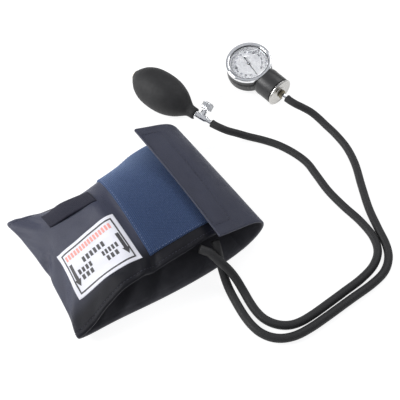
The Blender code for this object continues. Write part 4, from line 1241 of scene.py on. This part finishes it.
HOSE_TO_GAUGE = (
    (-31.8, -76.0, 21.0), (-33.8, -84.0, 12.6), (-36.0, -93.0, 7.0), (-38.0, -103.0, 4.6),
    (-40.0, -115.0, 4.0), (-41.4, -126.0, 4.0), (-41.6, -137.0, 4.0), (-39.6, -147.4, 4.0),
    (-34.4, -156.4, 4.0), (-26.4, -163.0, 4.0), (-15.6, -167.2, 4.0), (-1.0, -168.9, 4.0),
    (18.0, -169.0, 4.0), (46.0, -168.4, 4.0), (72.0, -168.0, 4.0), (90.0, -165.0, 4.0),
    (103.2, -156.8, 4.0), (111.6, -144.6, 4.0), (118.4, -126.0, 4.0), (126.9, -104.5, 4.0),
    (139.9, -79.8, 4.0), (152.5, -57.0, 4.0), (160.0, -36.0, 4.0), (162.6, -16.0, 4.0),
    (162.4, 0.0, 4.4), (161.2, 11.0, 6.2), (158.4, 20.0, 8.9), (153.4, 28.0, 12.0),
    (149.1, 34.4, 14.1),
)


def port_frame(port):
    station, heading, drop = port
    rotation = turned(heading, "Z") @ turned(90.0 + drop, "X")
    edge = Vector(strip_point(np.array(station), np.array(0.0)))
    clear_of_edge = rotation.to_3x3() @ Vector((0.0, 0.0, 3.0))
    return placed(edge + Vector((0.0, -GAP, -2.4)) + clear_of_edge, rotation)


def tube(name, track, radius, finish, segments=28, flare=0.0):
    """A closed round tube along a track in table millimetres, with places on its surface."""
    track = np.array([tuple(p) for p in track])
    steps = np.linalg.norm(np.diff(track, axis=0), axis=1)
    length = np.concatenate([[0.0], np.cumsum(steps)])
    tangent = np.gradient(track, length, axis=0)
    tangent /= np.linalg.norm(tangent, axis=1, keepdims=True)
    side = np.cross(tangent[0], (0.0, 0.0, 1.0))
    side /= np.linalg.norm(side)
    points, uvs = [], []
    for spot, ahead, along in zip(track, tangent, length):
        side = side - ahead * (side @ ahead)
        side /= np.linalg.norm(side)
        up = np.cross(ahead, side)
        from_end = length[-1] - along
        reach = radius * (1.0 + flare * math.exp(-((from_end / 2.2) ** 2)))
        reach -= 0.35 * (math.exp(-((from_end / 0.25) ** 2)) + math.exp(-((along / 0.25) ** 2)))
        for step in range(segments):
            angle = 2.0 * math.pi * step / segments
            points.append(spot + (side * math.cos(angle) + up * math.sin(angle)) * reach)
            uvs.append((radius * angle * MM, along * MM))
    faces = ring_faces(0, len(track), segments)
    points = np.array(points) + np.array(TABLE_TO_ORIGIN)
    made = new_piece(name, points, faces, [finish], None, None, uvs, 50.0)
    face_outwards(made)
    return made


def make_hose(name, node, port, route, fitting, end_height):
    leave = port_frame(port)
    knots = [table_point(leave, PORT_REACH + GAP + 2.0)]
    knots += [Vector(point) for point in route]
    knots.append(table_point(fitting, end_height + 5.0))
    # the hose is pushed right up its port
    track = [table_point(leave, height) for height in (0.8, 1.1, 1.6, 3.0, 5.0, PORT_REACH)]
    track += catmull_rom(knots, 7)
    for back in (3.5, 2.2, 1.4, 0.8, 0.5, GAP):
        track.append(table_point(fitting, end_height + back))
    made = tube(name, track, HOSE_D / 2.0, "hose", flare=0.07)
    hold(made, ROOT, node, slot="hose_rubber")


def make_ports():
    for node, port in (("bulb_port", BULB_PORT), ("gauge_port", GAUGE_PORT)):
        outline = [
            (0.0, 0.0), (3.7, 0.0), (3.7, 0.6), (3.3, 0.9), (3.3, PORT_REACH - 0.6),
            (3.0, PORT_REACH), (0.0, PORT_REACH),
        ]
        made = lathe(f"{node}_collar", outline, "port", port_frame(port), 48, 0.2)
        hold(made, ROOT, node, slot="hose_rubber")


# ---------------------------------------------------------------- bulb and valves


def make_bulb():
    tail = -82.2
    wall = 2.6
    neck = 6.1
    outer = (
        (6.2, tail), (10.5, tail + 3.8), (15.8, tail + 10.4), (20.0, tail + 20.9), (21.3, tail + 36.0),
        (19.7, tail + 49.3), (15.4, tail + 60.7), (9.9, tail + 69.2), (neck, tail + 74.2), (neck, 0.0),
    )
    inner = [(r - wall, z) for r, z in outer[2:-2]]
    outside = smooth_outline([*outer[:-2], (7.1, -8.6), (6.35, -5.4)], 7)
    inside = smooth_outline(inner, 5)
    collar = [(neck + 0.12, -3.0), (neck + 0.1, -0.9), (neck - 0.15, -0.25), (neck - 0.7, 0.0)]
    outline = [(5.5, tail), *outside[1:], *collar, (4.8, 0.0), (4.8, -11.0)]
    outline += [*reversed(inside), (5.0, tail + 9.0), (5.0, tail)]

    def moulding(angle, height, radius):
        """Two faint mould lines, and a body that is not quite round."""
        line = math.exp(-((math.sin(angle) * 26.0) ** 2))
        on_body = 1.0 if tail + 2.0 < height < -8.0 and radius > 8.0 else 0.0
        return 1.0 + on_body * (0.005 * line + 0.003 * math.cos(2.0 * angle + 0.4))

    made = lathe("bulb_body", outline, "bulb", BULB_FRAME, 144, 0.0, moulding)
    smooth(made, 50.0)
    hold(made, ROOT, "bulb", slot="bulb_rubber")

    outline = [
        (3.4, tail - 0.6), (5.9, tail - 0.6), (5.9, tail - GAP), (4.7, tail - GAP), (4.7, tail + 12.0),
        (1.2, tail + 12.0), (1.2, tail + 10.8), (3.0, tail + 10.8), (3.0, tail + 5.2), (1.3, tail + 3.4),
        (1.3, tail + 2.0), (3.4, tail + 2.0),
    ]
    made = lathe("inlet_valve_turned", outline, "brass", BULB_FRAME, 56, 0.2)
    hold(made, ROOT, "inlet_valve_body", slot="brass")


def make_valve():
    outline = [
        (1.2, -9.5), (3.4, -9.5), (3.9, -7.5), (3.4, -5.5), (3.9, -3.5), (3.4, -1.5), (3.4, GAP),
        (4.4, GAP), (4.4, 1.3), (3.8, 1.8), (3.8, 13.2), (3.3, 14.2), (3.0, 14.2), (3.0, 15.2),
        (2.4, 15.6), (2.4, 19.1), (2.1, VALVE_OUTLET_Z), (1.1, VALVE_OUTLET_Z), (1.1, -2.6),
        (2.7, -2.6), (2.7, -6.2), (1.2, -6.2),
    ]
    body = lathe("release_valve_turned", outline, "chrome", VALVE_FRAME, 64, 0.22)
    boss = [(0.0, 1.6), (3.2, 1.6), (3.2, 7.4), (2.9, 7.8), (0.0, 7.8)]
    combine(body, lathe("boss", boss, "chrome", KNOB_FRAME, 48, 0.25), "UNION")
    bore = [(0.0, 0.4), (0.9, 0.4), (2.1, 2.6), (2.1, 6.2), (2.6, 6.2), (2.6, 9.0), (0.0, 9.0)]
    combine(body, lathe("bore", bore, "chrome", KNOB_FRAME, 40, 0.0), "DIFFERENCE")
    face_outwards(body)
    hold(body, ROOT, "release_valve_body", slot="chrome")

    teeth = 32
    radius = 6.1

    def knurl(angle, height, reach):
        """Fine straight knurling on the knob's side."""
        if reach < radius - 0.5 or not 9.6 < height < 16.0:
            return 1.0
        return 1.0 - 0.055 * (0.5 + 0.5 * math.cos(teeth * angle)) ** 1.5

    outline = [
        (1.85, 9.0), (radius - 0.7, 9.0), (radius - 0.15, 9.4), (radius, 9.65), (radius, 12.6),
        (radius, 15.95), (radius - 0.15, 16.2), (radius - 0.8, 16.5), (radius - 1.0, 16.7),
        (radius - 1.5, 17.1), (1.2, 16.9), (0.0, 16.8), (0.0, 12.3), (1.85, 12.3),
    ]
    knob = lathe("release_knob_knurled", outline, "chrome", KNOB_FRAME, teeth * 8, 0.12, knurl)
    hold(knob, "knob", "release_knob", slot="chrome")


# ---------------------------------------------------------------- gauge

BEZEL_R = 25.0
PAN_R = 24.8
PAN_DEPTH = 27.0
PAN_FLOOR_Z = -24.8
NECK_R = 15.2
NECK_END = 43.6
DIAL_TOP = -4.8
ZERO_ANGLE = -103.0
FULL_SWEEP = 323.0
FULL_SCALE = 300
SCALE_R = 19.2  # outer ends of the scale's lines
NUMBER_R = 14.6
NUMBER_SIZE = 2.9


def make_case():
    back, rim, edge = -PAN_DEPTH, -4.6, 9.0
    outline = [(0.0, rim), (PAN_R, rim)]
    outline += arc(edge, 0.0, -90.0, 14, (PAN_R - edge, back + edge))
    outline += [(0.0, back)]
    case = lathe("gauge_case_shell", outline, "enamel", GAUGE_FRAME, 120, 0.0)
    # the neck has a round shoulder where it leaves the pan
    neck = [(0.0, 12.0), (13.6, 12.0), (13.6, 21.0)]
    for degrees in range(0, 91, 15):
        a = math.radians(degrees)
        neck.append((13.6 + 1.8 * math.sin(a), 27.4 - 5.4 * math.cos(a)))
    neck += [(NECK_R, 31.0), (NECK_R, NECK_END), (0.0, NECK_END)]
    combine(case, lathe("neck", neck, "enamel", NECK_FRAME, 96, 0.25), "UNION")
    room = [(0.0, -8.6), (BEZEL_R + 0.5, -8.6), (BEZEL_R + 0.5, 6.0), (0.0, 6.0)]
    combine(case, lathe("room", room, "enamel", GAUGE_FRAME, 120, 0.0), "DIFFERENCE")
    crown = [(0.0, -12.0), (PAN_R, -12.0), (PAN_R, rim - 0.4), (PAN_R - 0.4, rim), (0.0, rim)]
    combine(case, lathe("crown", crown, "enamel", GAUGE_FRAME, 120, 0.0), "UNION")
    hollow = [(0.0, PAN_FLOOR_Z), (17.0, PAN_FLOOR_Z), (21.8, back + 7.0), (21.8, 2.0), (0.0, 2.0)]
    combine(case, lathe("hollow", hollow, "enamel", GAUGE_FRAME, 96, 0.0), "DIFFERENCE")
    bore = [(0.0, 14.0), (11.0, 14.0), (11.0, 24.0), (13.2, 28.0), (13.2, 50.0), (0.0, 50.0)]
    combine(case, lathe("bore", bore, "enamel", NECK_FRAME, 80, 0.0), "DIFFERENCE")
    face_outwards(case)
    smooth(case, 32.0)
    hold(case, ROOT, "gauge_case", slot="case_paint")


def make_front():
    inside = 24.3
    outline = [
        (21.0, -1.4), (21.0, -0.7), (21.5, -0.3), (22.1, 0.0), (23.0, 0.12), (23.9, 0.0), (24.5, -0.4),
        (24.9, -1.0), (BEZEL_R, -1.8), (BEZEL_R, -3.9), (24.8, -4.4), (inside, -4.4), (inside, -3.4),
        (23.4, -1.4),
    ]
    made = lathe("bezel_ring", outline, "chrome", GAUGE_FRAME, 160, 0.18)
    hold(made, ROOT, "bezel", slot="chrome")
    dome = [(20.6 * (1 - k / 12.0), -1.7 + 1.0 * (1.0 - (1 - k / 12.0) ** 2)) for k in range(12)]
    lens = [(0.0, -2.7), (22.8, -2.7), (23.0, -2.5), (23.0, -1.7), *dome, (0.0, -0.7)]
    made = lathe("lens_dome", lens, "lens", GAUGE_FRAME, 96, 0.0)
    hold(made, ROOT, "lens", slot="lens")


def dial_angle(value):
    return math.radians(ZERO_ANGLE - FULL_SWEEP * value / FULL_SCALE)


def make_dial():
    # the plate's turned-up rim fills the step under the lens
    plate = [
        (1.6, DIAL_TOP - 0.6), (20.2, DIAL_TOP - 0.6), (20.2, -7.4), (21.0, -7.4), (21.0, -3.2),
        (20.5, -3.2), (20.3, DIAL_TOP + 0.3), (20.0, DIAL_TOP), (1.6, DIAL_TOP),
    ]
    made = lathe("dial_face", plate, "dial", GAUGE_FRAME, 96, 0.08)
    for number, centre in enumerate(((13.2, 6.0), (-13.2, 6.0))):
        spot = GAUGE_FRAME @ Matrix.Translation((centre[0] * MM, centre[1] * MM, 0.0))
        drill = [(0.0, -6.0), (0.9, -6.0), (0.9, -4.0), (0.0, -4.0)]
        combine(made, lathe(f"drill_{number}", drill, "dial", spot, 24, 0.0), "DIFFERENCE")
        screw = [
            (0.0, -9.4), (0.75, -9.4), (0.75, DIAL_TOP + 0.05), (1.5, DIAL_TOP + 0.05),
            (1.5, DIAL_TOP + 0.35), (1.1, DIAL_TOP + 0.65), (0.0, DIAL_TOP + 0.7),
        ]
        head = lathe(f"dial_screw_{number + 1}_turned", screw, "steel", spot, 32, 0.1)
        slit = [(-2.0, -0.18), (2.0, -0.18), (2.0, 0.18), (-2.0, 0.18)]
        combine(head, prism("slit", slit, DIAL_TOP + 0.4, -3.0, "steel", spot), "DIFFERENCE")
        hold(head, ROOT, f"dial_screw_{number + 1}", slot="steel")
    hold(made, ROOT, "dial_plate", slot="dial")

    top, thick = DIAL_TOP + 0.005, 0.04
    points, faces = [], []

    def plate_mark(corners):
        faces.extend(ring_faces(len(points), 2, len(corners)))
        points.extend((x, y, z) for z in (top, top + thick) for x, y in corners)

    def tick(value, inner, outer, width):
        angle = dial_angle(value)
        along = Vector((math.cos(angle), math.sin(angle)))
        side = Vector((-along.y, along.x)) * width / 2.0
        corners = [along * inner - side, along * outer - side, along * outer + side, along * inner + side]
        plate_mark([(p.x, p.y) for p in corners])

    for value in range(0, FULL_SCALE + 1, 2):
        if value % 20 == 0:
            tick(value, 16.9, SCALE_R, 0.3)
        elif value % 10 == 0:
            tick(value, 17.4, SCALE_R, 0.22)
        else:
            tick(value, 18.1, SCALE_R, 0.13)
    for inner, outer in ((19.15, 19.35), (16.75, 16.86)):
        steps = 160
        for step in range(steps):
            one = dial_angle(FULL_SCALE * step / steps)
            two = dial_angle(FULL_SCALE * (step + 1) / steps)
            plate_mark(
                [
                    (radius * math.cos(angle), radius * math.sin(angle))
                    for radius, angle in ((inner, one), (outer, one), (outer, two), (inner, two))
                ]
            )
    made = new_piece("dial_scale", points, faces, ["dial_ink"], GAUGE_FRAME)
    face_outwards(made)
    hold(made, ROOT, slot="dial")

    for value in range(0, FULL_SCALE + 1, 20):
        numeral(f"dial_number_{value}", str(value), dial_angle(value))


def numeral(name, figures, angle):
    """Raised figures on the dial, upright towards its rim."""
    text = bpy.data.curves.new(name, "FONT")
    text.body = figures
    text.size = NUMBER_SIZE * MM
    text.align_x = "CENTER"
    text.align_y = "CENTER"
    text.extrude = 0.02 * MM
    text.offset = 0.03 * MM
    text.resolution_u = 3
    source = bpy.data.objects.new(name + "_text", text)
    bpy.context.collection.objects.link(source)
    bpy.context.view_layer.update()
    mesh = bpy.data.meshes.new_from_object(source.evaluated_get(bpy.context.evaluated_depsgraph_get()))
    bpy.data.objects.remove(source)
    mesh.materials.clear()
    mesh.materials.append(FINISH["dial_ink"].made)
    spot = Vector((NUMBER_R * math.cos(angle), NUMBER_R * math.sin(angle), DIAL_TOP + 0.03)) * MM
    turn = math.degrees(angle) - 90.0
    mesh.transform(GAUGE_FRAME @ Matrix.Translation(spot) @ turned(turn, "Z"))
    made = bpy.data.objects.new(name, mesh)
    bpy.context.collection.objects.link(made)
    hold(made, ROOT, slot="dial")


def make_pointer():
    needle_frame = GAUGE_FRAME @ turned(ZERO_ANGLE, "Z")
    side = [
        (-9.6, 0.4), (-9.0, 0.55), (-6.5, 0.48), (-5.0, 0.3), (-2.0, 0.3), (-1.2, 0.9), (0.0, 1.4),
        (1.2, 0.9), (2.0, 0.36), (9.0, 0.24), (15.0, 0.15), (17.6, 0.05),
    ]
    outline = side + [(x, -y) for x, y in reversed(side)]
    made = prism("pointer_blade", outline, -4.1, -3.8, "pointer", needle_frame)
    soften(made, 0.06, 2)
    hold(made, "pointer", "pointer", slot="pointer_paint")
    cap = [(0.0, -5.6), (0.5, -5.6), (0.5, -4.4), (1.1, -4.4), (1.1, -3.5), (0.8, -3.25), (0.0, -3.2)]
    made = lathe("pointer_hub", cap, "chrome", GAUGE_FRAME, 40, 0.15)
    hold(made, "pointer", "pointer_cap", slot="pointer_paint")


def make_fitting():
    start = NECK_END
    face = start + 3.6
    cap = [
        (2.4, start + 1.3), (15.2, start + 1.3), (15.6, start + 1.7), (15.6, face - 0.6), (14.9, face),
        (13.4, face + 0.15), (12.8, face - 0.4), (8.4, face - 0.4), (7.6, face + 0.3), (2.4, face + 0.6),
    ]

    def edge_knurl(angle, height, radius):
        return 1.0 - 0.012 * (0.5 + 0.5 * math.cos(60 * angle)) if radius > 15.4 else 1.0

    made = lathe("end_cap_turned", cap, "nickel", NECK_FRAME, 240, 0.2, edge_knurl)
    hold(made, ROOT, "end_cap", slot="chrome")
    low = face + 0.9
    square = [(-3.6, -3.6), (3.6, -3.6), (3.6, 3.6), (-3.6, 3.6)]
    nut = prism("cap_nut_squared", square, low, low + 3.2, "dull_brass", NECK_FRAME)
    hole = [(0.0, low - 1.0), (2.4, low - 1.0), (2.4, low + 5.0), (0.0, low + 5.0)]
    combine(nut, lathe("hole", hole, "dull_brass", NECK_FRAME, 40, 0.0), "DIFFERENCE")
    soften(nut, 0.35)
    hold(nut, ROOT, "cap_nut", slot="brass")
    nipple = [
        (0.9, start - 1.6), (3.4, start - 1.6), (3.4, start + 0.4), (2.1, start + 0.4),
        (2.1, low + 3.8), (2.8, low + 4.4), (2.3, low + 5.8), (2.2, NIPPLE_TIP_Z), (0.9, NIPPLE_TIP_Z),
    ]
    made = lathe("hose_nipple_turned", nipple, "chrome", NECK_FRAME, 48, 0.15)
    hold(made, ROOT, "hose_nipple", slot="chrome")


def make_back_hook():
    back = -PAN_DEPTH - GAP
    outer = back - 3.2
    side = [
        (15.0, back), (7.0, back), (6.0, back - 1.0), (5.4, outer + 1.0), (4.6, outer + 1.0),
        (-11.0, outer + 1.0), (-13.0, outer + 1.6), (-13.4, outer + 0.8), (-11.0, outer),
        (5.4, outer), (6.4, outer + 0.8), (7.0, back - 1.0), (15.0, back - 1.0),
    ]
    hook_frame = GAUGE_FRAME @ turned(90.0, "Z") @ turned(90.0, "X")
    hook = prism("back_hook_bent", side, -4.5, 4.5, "steel", hook_frame)
    spot = GAUGE_FRAME @ Matrix.Translation((0.0, 11.2 * MM, 0.0))
    hole = [(0.0, back - 3.0), (1.5, back - 3.0), (1.5, back + 1.0), (0.0, back + 1.0)]
    combine(hook, lathe("hook_hole", hole, "steel", spot, 32, 0.0), "DIFFERENCE")
    soften(hook, 0.2)
    hold(hook, ROOT, "back_hook", slot="steel")


# ---------------------------------------------------------------- carried-over CAD nodes

CAD_FINISHES = {
    "brass": (
        "movement_plate_front", "movement_plate_back", "movement_pillar_1", "movement_pillar_2",
        "movement_pillar_3", "sector_gear", "sector_crank", "capsule_base", "capsule_front",
    ),
    "steel": (
        "inlet_check_ball", "inlet_filter_gauze", "valve_needle", "release_screw", "hook_screw",
        "sector_arbor", "pinion", "hairspring", "push_rod",
    ),
    "rubber": ("outlet_check_disc", "screw_seal_ring", "lens_gasket", "cap_gasket"),
}


def paint_cad_nodes():
    for finish, nodes in CAD_FINISHES.items():
        for node in nodes:
            for slot in NODES[node].material_slots:
                slot.material = FINISH[finish].made


make_camera()
make_studio()
make_ports()
make_hose("hose_to_bulb_tube", "hose_to_bulb", BULB_PORT, HOSE_TO_BULB, VALVE_FRAME, VALVE_OUTLET_Z)
make_hose("hose_to_gauge_tube", "hose_to_gauge", GAUGE_PORT, HOSE_TO_GAUGE, NECK_FRAME, NIPPLE_TIP_Z)
make_sleeve()
make_flap()
make_bladder()
make_loop_patch()
make_keeper()
make_label()
make_bulb()
make_valve()
make_case()
make_front()
make_dial()
make_pointer()
make_fitting()
make_back_hook()
paint_cad_nodes()
